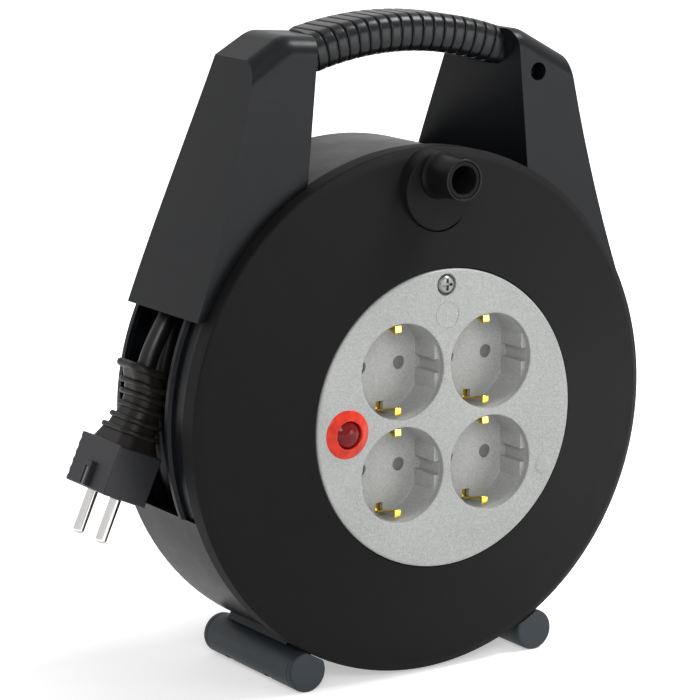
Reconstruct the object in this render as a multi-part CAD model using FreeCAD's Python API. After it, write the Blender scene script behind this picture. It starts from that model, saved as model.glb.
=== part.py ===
# Extension cord reel: a drum with four mains sockets that winds its cable inside a box housing.
# All work is done in drum coordinates (millimetres): X to the right, Y from front to back, Z up,
# with the origin on the drum's axis at the front face of the socket panel. Saving moves each piece
# into the part's own frame, whose origin is on the floor below the middle of the reel.
import FreeCAD, Part
import math
import os

Vector = FreeCAD.Vector

# Socket panel and front disc
PANEL_RADIUS = 61.6
PANEL_THICKNESS = 2.4
PANEL_SCREW_Z = 55.3
PANEL_SCREW_HEAD_RADIUS = 4.0
PANEL_SCREW_FRONT = -0.6
SNAP_PLUG_X = 48.6
SNAP_PLUG_Z = -25.4
DISC_BORE_RADIUS = 62.0
DISC_BORE_DEPTH = 0.8
CONE_EDGE_RADIUS = 106.0
CONE_EDGE_DEPTH = 13.5
RIM_RADIUS = 109.5
RIM_FRONT_DEPTH = 15.7
RIM_BACK_DEPTH = 24.5
WALL = 2.4

# Sockets, in two rows of two
SOCKET_MIDDLE_X = 0.475
SOCKET_MIDDLE_Z = 0.28
SOCKET_SPACING_X = 43.0
SOCKET_SPACING_Z = 42.54
RECESS_RADIUS = 19.75
RECESS_DEPTH = 17.5
CUP_RADIUS = 20.9
PIN_PITCH = 19.0
PIN_HOLE_RADIUS = 2.75
CUP_BACK = RECESS_DEPTH + WALL
FLAT_REACH = 17.3
FLAT_FRONT = 3.0
FLAT_GAP = 5.6
CLIP_WIDTH = 3.0
CLIP_SLOT_WIDTH = 3.6
CLIP_SLOT_REACH = (15.0, 19.4)
CARRIER_FLOOR = 31.8
CARRIER_RADIUS = 53.5

# Thermal cut-out
CUTOUT_X = -47.6
CUTOUT_Z = -0.8
CUTOUT_RING_RADIUS = 10.0
CUTOUT_COLLAR_RADIUS = 8.05
BUTTON_RADIUS = 5.5
BUTTON_TRAVEL = 1.8
SHOULDER_RADIUS = 6.4
SHOULDER_FRONT = 3.4
WELL_RADIUS = 4.3
STEM_RADIUS = 1.8

# Winding knob and its pad
PAD_RADIUS = 16.0
PAD_HEIGHT = 92.8
PAD_DEPTH = 5.2
KNOB_HEIGHT = 99.3
KNOB_RADIUS = 8.45
KNOB_TIP_DEPTH = -12.0
STUB_RADIUS = 7.0
STUB_LIP_RADIUS = 7.5
STUB_BORE_RADIUS = 5.9
RUNNING_GAP = 0.06

# Reel core, flanges and hub
CORE_RADIUS = 66.9
CORE_FRONT = 26.5
FLANGE_RADIUS = 98.5
FLANGE_THICKNESS = 2.0
REAR_FLANGE_DEPTH = 79.0
JOURNAL_RADIUS = 12.0
HUB_GAP = 0.08
HUB_RADIUS = 16.0
HUB_FRONT = 50.0
DRUM_SCREW_CIRCLE = 60.5
DRUM_SCREW_ANGLES = (45, 135, 225, 315)
SCREW_HEAD_RATIO = 0.55

# Cable, coil and lead
CABLE_RADIUS = 3.9
COIL_INNER_RADIUS = 67.0
COIL_LOW_RADIUS = 88.3
COIL_HIGH_RADIUS = 95.1
COIL_STEP_DEPTH = 63.0
GLAND_DEPTH = 34.5
GLAND_LENGTH = 11.0
TAIL_LENGTH = 12.4

# Housing
HOUSING_RADIUS = 107.3
HOUSING_FRONT = 25.5
FRONT_WALL = 2.3
DRUM_OPENING_RADIUS = 100.5
REAR_FLAT_DEPTH = 92.7
REAR_FLAT_RADIUS = 85.0
REAR_SLOPE = 0.477
LEDGE_HEIGHT = 46.5
PYLON_FRONT = 22.5
PYLON_FOOT_X = 103.0
PYLON_CORNER = {1: (76.6, 141.0), -1: (75.7, 147.8)}
PYLON_CREST = {1: (54.0, 153.4), -1: (60.5, 157.0)}
PYLON_ROOT_X = 30.0
PYLON_ROOT_Z = {1: 153.4, -1: 154.2}
CREST_ROUNDING = 12.0
PYLON_TOP_ROUNDING = 8.0
PYLON_INNER_X = {1: 55.4, -1: 51.8}
PYLON_INNER_HEIGHT = 97.0
PYLON_INNER_LEAN = 0.09
PYLON_DRAFT = {1: 0.25, -1: 0.2}
WINDOW_BOTTOM = -36.5
WINDOW_FRONT = 42.0
WINDOW_BACK = 79.5
BAND_FRONT = 29.0
BAND_BACK = 37.0
BAND_FLOOR_RADIUS = 105.9
BEAD_RADIUS = 108.4

# Handle
HANDLE_ARC_CENTRE = 6.9
HANDLE_ARC_RADIUS = 147.05
HANDLE_DEPTH = 44.5
GRIP_WIDTH = 29.0
GRIP_HEIGHT = 16.0
GRIP_RINGS = 21
RING_PITCH_ANGLE = 2.0
GROOVE_ANGLE = 0.22
GROOVE_DEPTH = 0.7
HANDLE_CORE_WIDTH = 23.0
HANDLE_CORE_HEIGHT = 11.0
HANDLE_CORE_ANGLE = 21.5

# Feet
FOOT_X = 56.67
FOOT_Z = -102.09
FOOT_RADIUS = 8.6
FOOT_FRONT = 15.5
FOOT_BACK = 86.0
FOOT_CAP_LENGTH = 3.2
RIM_CLEARANCE_RADIUS = 109.9

# Screws that hold the housing together
TOP_SCREW_X = 60.4
TOP_SCREW_Z = 135.4
TOP_SCREW_HEAD_DEPTH = 28.6
TOP_POST_BACK = 46.0
LOW_SCREW_X = 88.5
LOW_SCREW_Z = 73.5
LOW_POST_BACK = 72.0
REAR_TOP_POST_BACK = 56.0
SCREW_SEAT_THICKNESS = 3.4

# Plug and sleeve on the end of the lead
PLUG_TOP = Vector(-116.2, 61.2, -8.4)
PLUG_LEAN = 24.0
PLUG_THICKNESS = 20.5
PLUG_WIDTH = 32.5
PLUG_LENGTH = 20.8
PLUG_PIN_RADIUS = 2.4
PLUG_PIN_LENGTH = 19.0
PLUG_PIN_ROOT = 8.0
PLUG_PIN_SHANK_RADIUS = 2.0
PLUG_PIN_NECK = 0.3
SLEEVE_NECK_DEPTH = 1.5
SLEEVE_RING_THICKNESS = 2.3
SLEEVE_COLLAR_THICKNESS = 3.4
# Each ring of the sleeve, from the plug's top: across, up, half its thickness, half its width
SLEEVE_RINGS = [
    (3.65, 4.9, 9.3, 12.7),
    (6.15, 9.2, 8.8, 11.2),
    (8.65, 13.8, 8.4, 10.3),
    (10.0, 18.5, 8.4, 10.4),
    (10.5, 23.0, 8.7, 10.8),
    (9.3, 30.3, 8.6, 10.5),
]

# The part's own frame: floor at zero height, middle of the reel at zero depth
AXIS_HEIGHT = FOOT_RADIUS - FOOT_Z
MIDDLE_DEPTH = (KNOB_TIP_DEPTH + REAR_FLAT_DEPTH) / 2
TO_PART_FRAME = Vector(0, -MIDDLE_DEPTH, AXIS_HEIGHT)

BACKWARD = Vector(0, 1, 0)
FORWARD = Vector(0, -1, 0)
UPWARD = Vector(0, 0, 1)
SIDES = {"left": -1, "right": 1}


def save(name, shape):
    """Writes one node in the part's own frame and prints its volume."""
    moved = shape.copy()
    moved.translate(TO_PART_FRAME)
    moved.exportStep("parts/" + name + ".step")
    print(name, len(moved.Solids), "solids", round(moved.Volume), "mm3", moved.isValid())


def disc_of_revolution(profile):
    """Solid turned about the drum's axis from (radius, depth) points."""
    points = [Vector(radius, depth, 0) for radius, depth in profile]
    face = Part.Face(Part.makePolygon(points + points[:1]))
    return face.revolve(Vector(0, 0, 0), BACKWARD, 360)


def rod(x, z, radius, front, back):
    """Cylinder parallel to the drum's axis."""
    return Part.makeCylinder(radius, back - front, Vector(x, front, z), BACKWARD)


def tube(x, z, outer, inner, front, back):
    """Tube parallel to the drum's axis."""
    return rod(x, z, outer, front, back).cut(rod(x, z, inner, front, back))


def block(x_range, y_range, z_range):
    """Box from its three ranges."""
    size = [high - low for low, high in (x_range, y_range, z_range)]
    return Part.makeBox(*size, Vector(x_range[0], y_range[0], z_range[0]))


def turned_about(x, z, profile):
    """Solid turned about an axis parallel to the drum's, from (radius, depth) points."""
    shape = disc_of_revolution(profile)
    shape.translate(Vector(x, 0, z))
    return shape


def cross_head_screw(x, z, head_radius, head_front, shank_radius, shank_back, facing=1):
    """Pan-head screw along the drum's axis; facing 1 has its head in front, -1 behind."""
    head_height = SCREW_HEAD_RATIO * head_radius
    slot_width = 0.28 * head_radius
    slot_length = 1.2 * head_radius
    head = turned_about(x, z, [
        (0, head_front),
        (0.75 * head_radius, head_front + facing * 0.1 * head_height),
        (head_radius, head_front + facing * 0.6 * head_height),
        (head_radius, head_front + facing * head_height),
        (0, head_front + facing * head_height),
    ])
    head_back = head_front + facing * head_height
    shank = rod(x, z, shank_radius, min(head_back, shank_back), max(head_back, shank_back))
    slot_y = sorted((head_front - facing, head_front + facing * 0.6 * head_height))
    half_long = slot_length / 2
    half_wide = slot_width / 2
    cross = block((x - half_long, x + half_long), slot_y, (z - half_wide, z + half_wide))
    cross = cross.fuse(block((x - half_wide, x + half_wide), slot_y, (z - half_long, z + half_long)))
    return head.fuse(shank).cut(cross).removeSplitter()


# Front disc with the knob's pad and stub

def cone_back_depth(radius):
    """Depth of the cone's inner surface at a radius."""
    slope = (CONE_EDGE_DEPTH - DISC_BORE_DEPTH) / (CONE_EDGE_RADIUS - DISC_BORE_RADIUS)
    wall_along_axis = WALL * math.sqrt(1 + slope ** 2)
    return DISC_BORE_DEPTH + slope * (radius - DISC_BORE_RADIUS) + wall_along_axis


def front_disc():
    seat_back = PANEL_THICKNESS + 2.5
    seat_radius = PANEL_RADIUS - 4.0
    ring_inner = CORE_RADIUS - WALL
    shell = disc_of_revolution([
        (DISC_BORE_RADIUS, DISC_BORE_DEPTH),
        (CONE_EDGE_RADIUS, CONE_EDGE_DEPTH),
        (RIM_RADIUS, RIM_FRONT_DEPTH),
        (RIM_RADIUS, RIM_BACK_DEPTH),
        (RIM_RADIUS - WALL, RIM_BACK_DEPTH),
        (RIM_RADIUS - WALL, RIM_FRONT_DEPTH + 1.4),
        (CONE_EDGE_RADIUS - 0.7, cone_back_depth(CONE_EDGE_RADIUS - 0.7)),
        (CORE_RADIUS, cone_back_depth(CORE_RADIUS)),
        (CORE_RADIUS, CORE_FRONT),
        (ring_inner, CORE_FRONT),
        (ring_inner, seat_back),
        (seat_radius, seat_back),
        (seat_radius, PANEL_THICKNESS),
        (DISC_BORE_RADIUS, PANEL_THICKNESS),
    ])
    pad_inner = PAD_RADIUS - WALL
    pad_back = RIM_FRONT_DEPTH
    shell = shell.fuse(rod(0, PAD_HEIGHT, PAD_RADIUS, PAD_DEPTH, pad_back))
    shell = shell.cut(rod(0, PAD_HEIGHT, pad_inner, PAD_DEPTH + WALL, RIM_BACK_DEPTH))
    groove = tube(0, PAD_HEIGHT, PAD_RADIUS + 0.7, PAD_RADIUS, PAD_DEPTH - 1, PAD_DEPTH + 2.2)
    shell = shell.cut(groove)
    stub_tip = KNOB_TIP_DEPTH + 0.2
    stub = turned_about(0, KNOB_HEIGHT, [
        (STUB_BORE_RADIUS, stub_tip),
        (STUB_LIP_RADIUS, stub_tip),
        (STUB_LIP_RADIUS, stub_tip + 0.8),
        (STUB_RADIUS, stub_tip + 1.4),
        (STUB_RADIUS, PAD_DEPTH + 0.5),
        (STUB_BORE_RADIUS, PAD_DEPTH + 0.5),
    ])
    shell = shell.fuse(stub)
    boss = rod(0, PANEL_SCREW_Z, 3.4, seat_back, 14)
    web = block((-1.2, 1.2), (seat_back, 14), (PANEL_SCREW_Z, ring_inner + 0.5))
    shell = shell.fuse(boss).fuse(web).cut(rod(0, PANEL_SCREW_Z, 1.5, 0, 13))
    for angle in DRUM_SCREW_ANGLES:
        x, z = on_circle(DRUM_SCREW_CIRCLE, angle)
        shell = shell.fuse(rod(x, z, 4.2, 12, CORE_FRONT)).cut(rod(x, z, 2.0, 14, CORE_FRONT + 1))
    return shell.removeSplitter()


def on_circle(radius, angle):
    """Point on a circle about the drum's axis, angle in degrees from +X towards +Z."""
    return radius * math.cos(math.radians(angle)), radius * math.sin(math.radians(angle))


def winding_knob():
    """Sleeve that turns on the stub, with a flared base and a counterbore round the stub's lip."""
    bore = STUB_RADIUS + RUNNING_GAP
    base = PAD_DEPTH - 0.3
    lip_room = STUB_LIP_RADIUS + 0.15
    lip_back = KNOB_TIP_DEPTH + 1.8
    return turned_about(0, KNOB_HEIGHT, [
        (lip_room, KNOB_TIP_DEPTH),
        (KNOB_RADIUS - 0.4, KNOB_TIP_DEPTH),
        (KNOB_RADIUS, KNOB_TIP_DEPTH + 0.5),
        (KNOB_RADIUS + 0.1, base - 6.0),
        (KNOB_RADIUS + 0.5, base - 2.6),
        (KNOB_RADIUS + 1.3, base - 0.9),
        (KNOB_RADIUS + 1.3, base),
        (bore, base),
        (bore, lip_back),
        (lip_room, lip_back - 0.3),
    ])


# Socket panel, cups and contacts

def socket_places():
    """Name and middle of each of the four sockets."""
    places = []
    for row, up in (("upper", 1), ("lower", -1)):
        for column, across in SIDES.items():
            x = SOCKET_MIDDLE_X + across * SOCKET_SPACING_X / 2
            z = SOCKET_MIDDLE_Z + up * SOCKET_SPACING_Z / 2
            places.append((row + "_" + column, x, z))
    return places


def socket_panel():
    panel = disc_of_revolution([
        (0, 0),
        (PANEL_RADIUS - 0.9, 0),
        (PANEL_RADIUS - 0.25, 0.25),
        (PANEL_RADIUS, 0.9),
        (PANEL_RADIUS, PANEL_THICKNESS),
        (0, PANEL_THICKNESS),
    ])
    lip = 0.4
    for _, x, z in socket_places():
        mouth = turned_about(x, z, [
            (0, -1),
            (RECESS_RADIUS + lip, -1),
            (RECESS_RADIUS + lip, 0),
            (RECESS_RADIUS, lip),
            (RECESS_RADIUS, PANEL_THICKNESS + 1),
            (0, PANEL_THICKNESS + 1),
        ])
        panel = panel.cut(mouth)
    panel = panel.cut(rod(CUTOUT_X, CUTOUT_Z, CUTOUT_COLLAR_RADIUS + 0.2, -1, PANEL_THICKNESS + 1))
    screw_seat = PANEL_SCREW_FRONT + SCREW_HEAD_RATIO * PANEL_SCREW_HEAD_RADIUS
    panel = panel.cut(rod(0, PANEL_SCREW_Z, PANEL_SCREW_HEAD_RADIUS + 0.5, -1, screw_seat))
    panel = panel.cut(rod(0, PANEL_SCREW_Z, 1.9, -1, PANEL_THICKNESS + 1))
    panel = panel.cut(tube(0.2, 42.8, 5.75, 5.25, -1, 0.25))
    panel = panel.cut(tube(-46.6, -27.8, 4.25, 3.95, -1, 0.15))
    panel = panel.cut(rod(SNAP_PLUG_X, SNAP_PLUG_Z, 3.2, -1, PANEL_THICKNESS + 1))
    boss = rod(SOCKET_MIDDLE_X, SOCKET_MIDDLE_Z, 4.5, PANEL_THICKNESS, CARRIER_FLOOR)
    pilot = rod(SOCKET_MIDDLE_X, SOCKET_MIDDLE_Z, 1.5, PANEL_THICKNESS + 6, CARRIER_FLOOR + 1)
    return panel.fuse(boss).cut(pilot).removeSplitter()


def socket_cup(x, z):
    cup = rod(x, z, CUP_RADIUS, PANEL_THICKNESS, CUP_BACK)
    cup = cup.cut(rod(x, z, RECESS_RADIUS, PANEL_THICKNESS - 1, RECESS_DEPTH))
    everywhere = (-CUP_RADIUS, CUP_RADIUS)
    between_flats = block((x - FLAT_REACH, x + FLAT_REACH), (0, CUP_BACK),
                          (z + everywhere[0], z + everywhere[1]))
    gap = block((x + everywhere[0], x + everywhere[1]), (0, CUP_BACK),
                (z - FLAT_GAP / 2, z + FLAT_GAP / 2))
    flats = rod(x, z, RECESS_RADIUS + 0.1, FLAT_FRONT, RECESS_DEPTH + 0.1)
    cup = cup.fuse(flats.cut(between_flats).cut(gap))
    for side in (-1, 1):
        cup = cup.cut(rod(x + side * PIN_PITCH / 2, z, PIN_HOLE_RADIUS, 0, CUP_BACK + 1))
        slot_z = sorted(z + side * reach for reach in CLIP_SLOT_REACH)
        slot_x = (x - CLIP_SLOT_WIDTH / 2, x + CLIP_SLOT_WIDTH / 2)
        cup = cup.cut(block(slot_x, (RECESS_DEPTH - 1, CUP_BACK + 1), slot_z))
    return cup.removeSplitter()


def earth_clip(x, z):
    """Brass strap behind a cup; its two ends pass the floor, lean inwards and turn out at the tip."""
    thickness = 0.8
    half = [
        (0, CUP_BACK),
        (18.2, CUP_BACK),
        (18.2, RECESS_DEPTH),
        (15.2, 4.7),
        (15.3, 3.8),
        (15.9, 3.4),
        (18.5, 3.7),
        (18.6, 4.5),
        (16.3, 4.6),
        (19.0, RECESS_DEPTH - 0.3),
        (19.0, CUP_BACK + thickness),
        (0, CUP_BACK + thickness),
    ]
    strap = None
    for side in (-1, 1):
        points = [Vector(x - CLIP_WIDTH / 2, depth, z + side * height) for height, depth in half]
        face = Part.Face(Part.makePolygon(points + points[:1]))
        arm = face.extrude(Vector(CLIP_WIDTH, 0, 0))
        strap = arm if strap is None else strap.fuse(arm)
    return strap.removeSplitter()


def contact_bar(offsets, cross_height, cross_width):
    """Brass sleeves behind the chosen pin holes, joined by two upright strips and a cross strip."""
    sleeve_back = CARRIER_FLOOR - 1.2
    strip = (sleeve_back, sleeve_back + 0.8)
    bar = None
    columns = []
    for _, x, z in socket_places():
        side = -1 if x < SOCKET_MIDDLE_X else 1
        pin_x = x + side * offsets * PIN_PITCH / 2
        columns.append(pin_x)
        sleeve = tube(pin_x, z, 3.3, 2.4, CUP_BACK, sleeve_back)
        bar = sleeve if bar is None else bar.fuse(sleeve)
    reach_up = SOCKET_MIDDLE_Z + SOCKET_SPACING_Z / 2 + 3.3
    reach_down = SOCKET_MIDDLE_Z - SOCKET_SPACING_Z / 2 - 3.3
    low = min(reach_down, cross_height - cross_width / 2)
    for pin_x in (min(columns), max(columns)):
        bar = bar.fuse(block((pin_x - 3.3, pin_x + 3.3), strip, (low, reach_up)))
    cross = (cross_height - cross_width / 2, cross_height + cross_width / 2)
    bar = bar.fuse(block((min(columns), max(columns)), strip, cross))
    return bar.cut(central_post()).removeSplitter()


def central_post():
    """Room for the panel's central boss."""
    return rod(SOCKET_MIDDLE_X, SOCKET_MIDDLE_Z, 4.8, 0, CARRIER_FLOOR + 5)


def earth_bar():
    half = SOCKET_SPACING_X / 2
    depth = (CUP_BACK + 0.8, CUP_BACK + 1.6)
    across = (SOCKET_MIDDLE_X - half - 2, SOCKET_MIDDLE_X + half + 2)
    height = (SOCKET_MIDDLE_Z - 7, SOCKET_MIDDLE_Z + 7)
    return block(across, depth, height).cut(central_post())


def contact_carrier():
    front = CUP_BACK + 0.5
    carrier = tube(0, 0, CARRIER_RADIUS, CARRIER_RADIUS - 2, front, CARRIER_FLOOR)
    carrier = carrier.fuse(rod(0, 0, CARRIER_RADIUS, CARRIER_FLOOR, CARRIER_FLOOR + 2))
    hole = rod(SOCKET_MIDDLE_X, SOCKET_MIDDLE_Z, 1.8, CARRIER_FLOOR - 1, CARRIER_FLOOR + 3)
    wire_hole = rod(0, -44, 5, CARRIER_FLOOR - 1, CARRIER_FLOOR + 3)
    return carrier.cut(hole).cut(wire_hole).removeSplitter()


# Thermal cut-out

def cutout_ring():
    """Red surround: a low cone on the panel and a collar that guides the button."""
    guide = BUTTON_RADIUS + 0.25
    shoulder_room = SHOULDER_RADIUS + 0.3
    return turned_about(CUTOUT_X, CUTOUT_Z, [
        (guide, -1.7),
        (guide + 0.4, -2.0),
        (CUTOUT_RING_RADIUS - 0.4, -0.35),
        (CUTOUT_RING_RADIUS, 0.0),
        (CUTOUT_COLLAR_RADIUS, 0.0),
        (CUTOUT_COLLAR_RADIUS, 8.0),
        (shoulder_room, 8.0),
        (shoulder_room, SHOULDER_FRONT - 0.3),
        (guide, SHOULDER_FRONT - 0.3),
    ])


def reset_button():
    """Domed button with a shoulder that keeps it behind the ring, a spring well and a stem."""
    dome = 8.5
    front = -2.9
    back = SHOULDER_FRONT + 1.0
    well_floor = 1.6
    stem_back = 10.4
    profile = [(0, front)]
    for step in range(1, 5):
        angle = math.asin(BUTTON_RADIUS / dome) * step / 4
        profile.append((dome * math.sin(angle), front + dome * (1 - math.cos(angle))))
    profile += [
        (BUTTON_RADIUS, SHOULDER_FRONT),
        (SHOULDER_RADIUS, SHOULDER_FRONT),
        (SHOULDER_RADIUS, back),
        (WELL_RADIUS, back),
        (WELL_RADIUS, well_floor),
        (STEM_RADIUS, well_floor),
        (STEM_RADIUS, stem_back),
        (0, stem_back),
    ]
    return turned_about(CUTOUT_X, CUTOUT_Z, profile)


def button_spring():
    """Coil spring round the button's stem, at its length with the button pressed."""
    turns = 4
    wire_radius = 0.25
    radius = (WELL_RADIUS + STEM_RADIUS) / 2
    front = 1.6 + BUTTON_TRAVEL + 0.1 + wire_radius
    length = 8.2 - wire_radius - front
    helix = Part.makeHelix(length / turns, length, radius)
    corners = []
    for index in range(12):
        turn = math.radians(index * 30)
        corners.append(Vector(radius + wire_radius * math.cos(turn), 0, wire_radius * math.sin(turn)))
    profile = Part.makePolygon(corners + corners[:1])
    wire = helix.makePipeShell([profile], True, True)
    wire.rotate(Vector(0, 0, 0), Vector(1, 0, 0), -90)
    wire.translate(Vector(CUTOUT_X, front, CUTOUT_Z))
    return wire


def cutout_body():
    """Switch block clipped behind the collar, with a well for the button's stem."""
    body = block((CUTOUT_X - 7, CUTOUT_X + 6.5), (8.3, 20), (CUTOUT_Z - 9, CUTOUT_Z + 9))
    body = body.cut(rod(CUTOUT_X, CUTOUT_Z, 2.1, 8, 14))
    for side in (-1, 1):
        tab_z = CUTOUT_Z + side * 5
        body = body.fuse(block((CUTOUT_X - 3, CUTOUT_X + 3), (20, 26), (tab_z - 0.4, tab_z + 0.4)))
    return body.removeSplitter()


def snap_plug():
    """Blank that closes a hole in the panel."""
    return turned_about(SNAP_PLUG_X, SNAP_PLUG_Z, [
        (0, -0.5),
        (3.4, -0.4),
        (4.0, 0.0),
        (3.15, 0.0),
        (3.15, PANEL_THICKNESS),
        (0, PANEL_THICKNESS),
    ])


# Reel core, flange, gland and coil

def reel_core():
    """Tube that the cable is wound on, with the front cheek and four inner screw bosses."""
    cheek_back = CORE_FRONT + FLANGE_THICKNESS
    core = disc_of_revolution([
        (CORE_RADIUS - WALL, CORE_FRONT),
        (FLANGE_RADIUS, CORE_FRONT),
        (FLANGE_RADIUS, cheek_back),
        (CORE_RADIUS, cheek_back),
        (CORE_RADIUS, REAR_FLANGE_DEPTH),
        (CORE_RADIUS - WALL, REAR_FLANGE_DEPTH),
    ])
    for angle in DRUM_SCREW_ANGLES:
        x, z = on_circle(DRUM_SCREW_CIRCLE, angle)
        core = core.fuse(rod(x, z, 4.2, CORE_FRONT, REAR_FLANGE_DEPTH))
        core = core.cut(rod(x, z, 2.0, CORE_FRONT - 1, REAR_FLANGE_DEPTH + 1))
    gland_hole = Part.makeCylinder(6.0, 12, Vector(0, GLAND_DEPTH, -72), UPWARD)
    return core.cut(gland_hole).removeSplitter()


def rear_flange():
    """Rear cheek with the hub that turns on the housing's journal."""
    back = REAR_FLANGE_DEPTH + FLANGE_THICKNESS
    bore = JOURNAL_RADIUS + HUB_GAP
    flange = disc_of_revolution([
        (bore, HUB_FRONT),
        (HUB_RADIUS, HUB_FRONT),
        (HUB_RADIUS, REAR_FLANGE_DEPTH),
        (FLANGE_RADIUS, REAR_FLANGE_DEPTH),
        (FLANGE_RADIUS, back),
        (bore, back),
    ])
    for index in range(8):
        rib = block((HUB_RADIUS - 0.5, CORE_RADIUS - WALL - 9), (REAR_FLANGE_DEPTH - 10, back - 1), (-1, 1))
        rib.rotate(Vector(0, 0, 0), BACKWARD, 45 * index + 22.5)
        flange = flange.fuse(rib)
    for angle in DRUM_SCREW_ANGLES:
        x, z = on_circle(DRUM_SCREW_CIRCLE, angle)
        flange = flange.cut(rod(x, z, 2.1, REAR_FLANGE_DEPTH - 1, back + 1))
    return flange.removeSplitter()


def drum_screws():
    screws = []
    head_face = REAR_FLANGE_DEPTH + FLANGE_THICKNESS + SCREW_HEAD_RATIO * 4.0
    for angle in DRUM_SCREW_ANGLES:
        x, z = on_circle(DRUM_SCREW_CIRCLE, angle)
        screws.append(cross_head_screw(x, z, 4.0, head_face, 1.9, 15.0, facing=-1))
    return Part.makeCompound(screws)


def cable_gland():
    """Sleeve through the core's wall at the bottom, with a collar inside."""
    bore = CABLE_RADIUS + 0.05
    body = Part.makeCylinder(5.9, GLAND_LENGTH, Vector(0, GLAND_DEPTH, -66.3), UPWARD)
    return body.cut(Part.makeCylinder(bore, 30, Vector(0, GLAND_DEPTH, -75), UPWARD))


def gland_nut():
    """Hexagonal nut that holds the gland against the inside of the core."""
    corner = 10.0
    points = []
    for index in range(6):
        x, y = on_circle(corner, 60 * index)
        points.append(Vector(x, GLAND_DEPTH + y, -63.0))
    nut = Part.Face(Part.makePolygon(points + points[:1])).extrude(Vector(0, 0, 5.5))
    return nut.cut(Part.makeCylinder(5.95, 20, Vector(0, GLAND_DEPTH, -70), UPWARD))


def cable_tail():
    """Straight end of the cable inside the drum, from the coil through the gland."""
    return Part.makeCylinder(CABLE_RADIUS, TAIL_LENGTH, Vector(0, GLAND_DEPTH, -66.6), UPWARD)


def cable_coil():
    front = CORE_FRONT + FLANGE_THICKNESS + 0.1
    back = REAR_FLANGE_DEPTH - 0.1
    return disc_of_revolution([
        (COIL_INNER_RADIUS, front),
        (COIL_LOW_RADIUS, front),
        (COIL_LOW_RADIUS, COIL_STEP_DEPTH),
        (COIL_HIGH_RADIUS, COIL_STEP_DEPTH),
        (COIL_HIGH_RADIUS, back),
        (COIL_INNER_RADIUS, back),
    ])


# Housing

def arc(start, middle, end):
    return Part.Arc(start, middle, end).toShape()


def line(start, end):
    return Part.LineSegment(start, end).toShape()


def housing_outline(inset):
    """Face in the plane Y = 0: the round box and its two pylons, moved inwards by inset."""
    radius = HOUSING_RADIUS
    ledge_x = math.sqrt(radius ** 2 - LEDGE_HEIGHT ** 2)
    root_x = PYLON_ROOT_X
    root_z = math.sqrt(radius ** 2 - root_x ** 2)
    edges = []
    for side in (1, -1):
        ledge = Vector(side * ledge_x, 0, LEDGE_HEIGHT)
        corner = Vector(side * PYLON_FOOT_X, 0, LEDGE_HEIGHT)
        outer_top = Vector(side * PYLON_CORNER[side][0], 0, PYLON_CORNER[side][1])
        crest = Vector(side * PYLON_CREST[side][0], 0, PYLON_CREST[side][1])
        top = Vector(side * root_x, 0, PYLON_ROOT_Z[side])
        root = Vector(side * root_x, 0, root_z)
        edges.append(line(ledge, corner))
        edges.append(arc(corner, Vector(side * 87.3, 0, 96.0), outer_top))
        edges.append(line(outer_top, crest))
        edges.append(line(crest, top))
        edges.append(line(top, root))
    left_root = Vector(-root_x, 0, root_z)
    right_root = Vector(root_x, 0, root_z)
    edges.append(arc(left_root, Vector(0, 0, radius), right_root))
    right_ledge = Vector(ledge_x, 0, LEDGE_HEIGHT)
    left_ledge = Vector(-ledge_x, 0, LEDGE_HEIGHT)
    edges.append(arc(right_ledge, Vector(0, 0, -radius), left_ledge))
    wire = Part.Wire(Part.__sortEdges__(edges))
    if inset > 0:
        wire = wire.makeOffset2D(-inset)
    return Part.Face(wire)


def beside_pylons(inset):
    """Space between the pylons above the round box; its sides are the pylons' drafted inner faces."""
    bottom = 80.0
    height = 100.0
    back = 130.0
    lean = PYLON_INNER_LEAN
    gap = None
    for side in (1, -1):
        draft = PYLON_DRAFT[side]
        thickness = inset * math.sqrt(1 + draft ** 2 + lean ** 2)
        front_x = PYLON_INNER_X[side] + thickness + lean * (PYLON_INNER_HEIGHT - bottom)
        points = [
            Vector(0, 0, bottom),
            Vector(side * (front_x + draft * PYLON_FRONT), 0, bottom),
            Vector(side * (front_x + draft * (PYLON_FRONT - back)), back, bottom),
            Vector(0, back, bottom),
        ]
        face = Part.Face(Part.makePolygon(points + points[:1]))
        half = face.extrude(Vector(-side * lean * height, 0, height))
        gap = half if gap is None else gap.fuse(half)
    return gap.cut(rod(0, 0, HOUSING_RADIUS - inset, -10, back + 10))


def rear_space(shift):
    """Everything in front of the dished rear surface, moved forward by shift."""
    far = 210.0
    return disc_of_revolution([
        (0, -20),
        (0, REAR_FLAT_DEPTH - shift),
        (REAR_FLAT_RADIUS, REAR_FLAT_DEPTH - shift),
        (far, REAR_FLAT_DEPTH - REAR_SLOPE * (far - REAR_FLAT_RADIUS) - shift),
        (far, -20),
    ])


def housing_prism(inset, setback):
    """Outline carried back from the pylons' front, rounded along their tops and stepped round the disc."""
    front = PYLON_FRONT + setback
    prism = housing_outline(inset).extrude(Vector(0, 120, 0))
    prism.translate(Vector(0, front, 0))
    crests = []
    for edge in prism.Edges:
        middle = edge.CenterOfMass
        if edge.BoundBox.YLength > 100 and middle.z > 148 and 45 < abs(middle.x) < 70:
            crests.append(edge)
    prism = prism.makeFillet(CREST_ROUNDING - inset, crests)
    tops = []
    for edge in prism.Edges:
        box = edge.BoundBox
        if box.YMax < front + 0.01 and box.ZMin > 130 and abs(edge.CenterOfMass.x) > PYLON_ROOT_X + 2:
            tops.append(edge)
    prism = prism.makeFillet(PYLON_TOP_ROUNDING - inset, tops)
    step = rod(0, 0, RIM_CLEARANCE_RADIUS + inset, 0, HOUSING_FRONT + setback)
    return prism.cut(step).cut(beside_pylons(inset))


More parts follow.
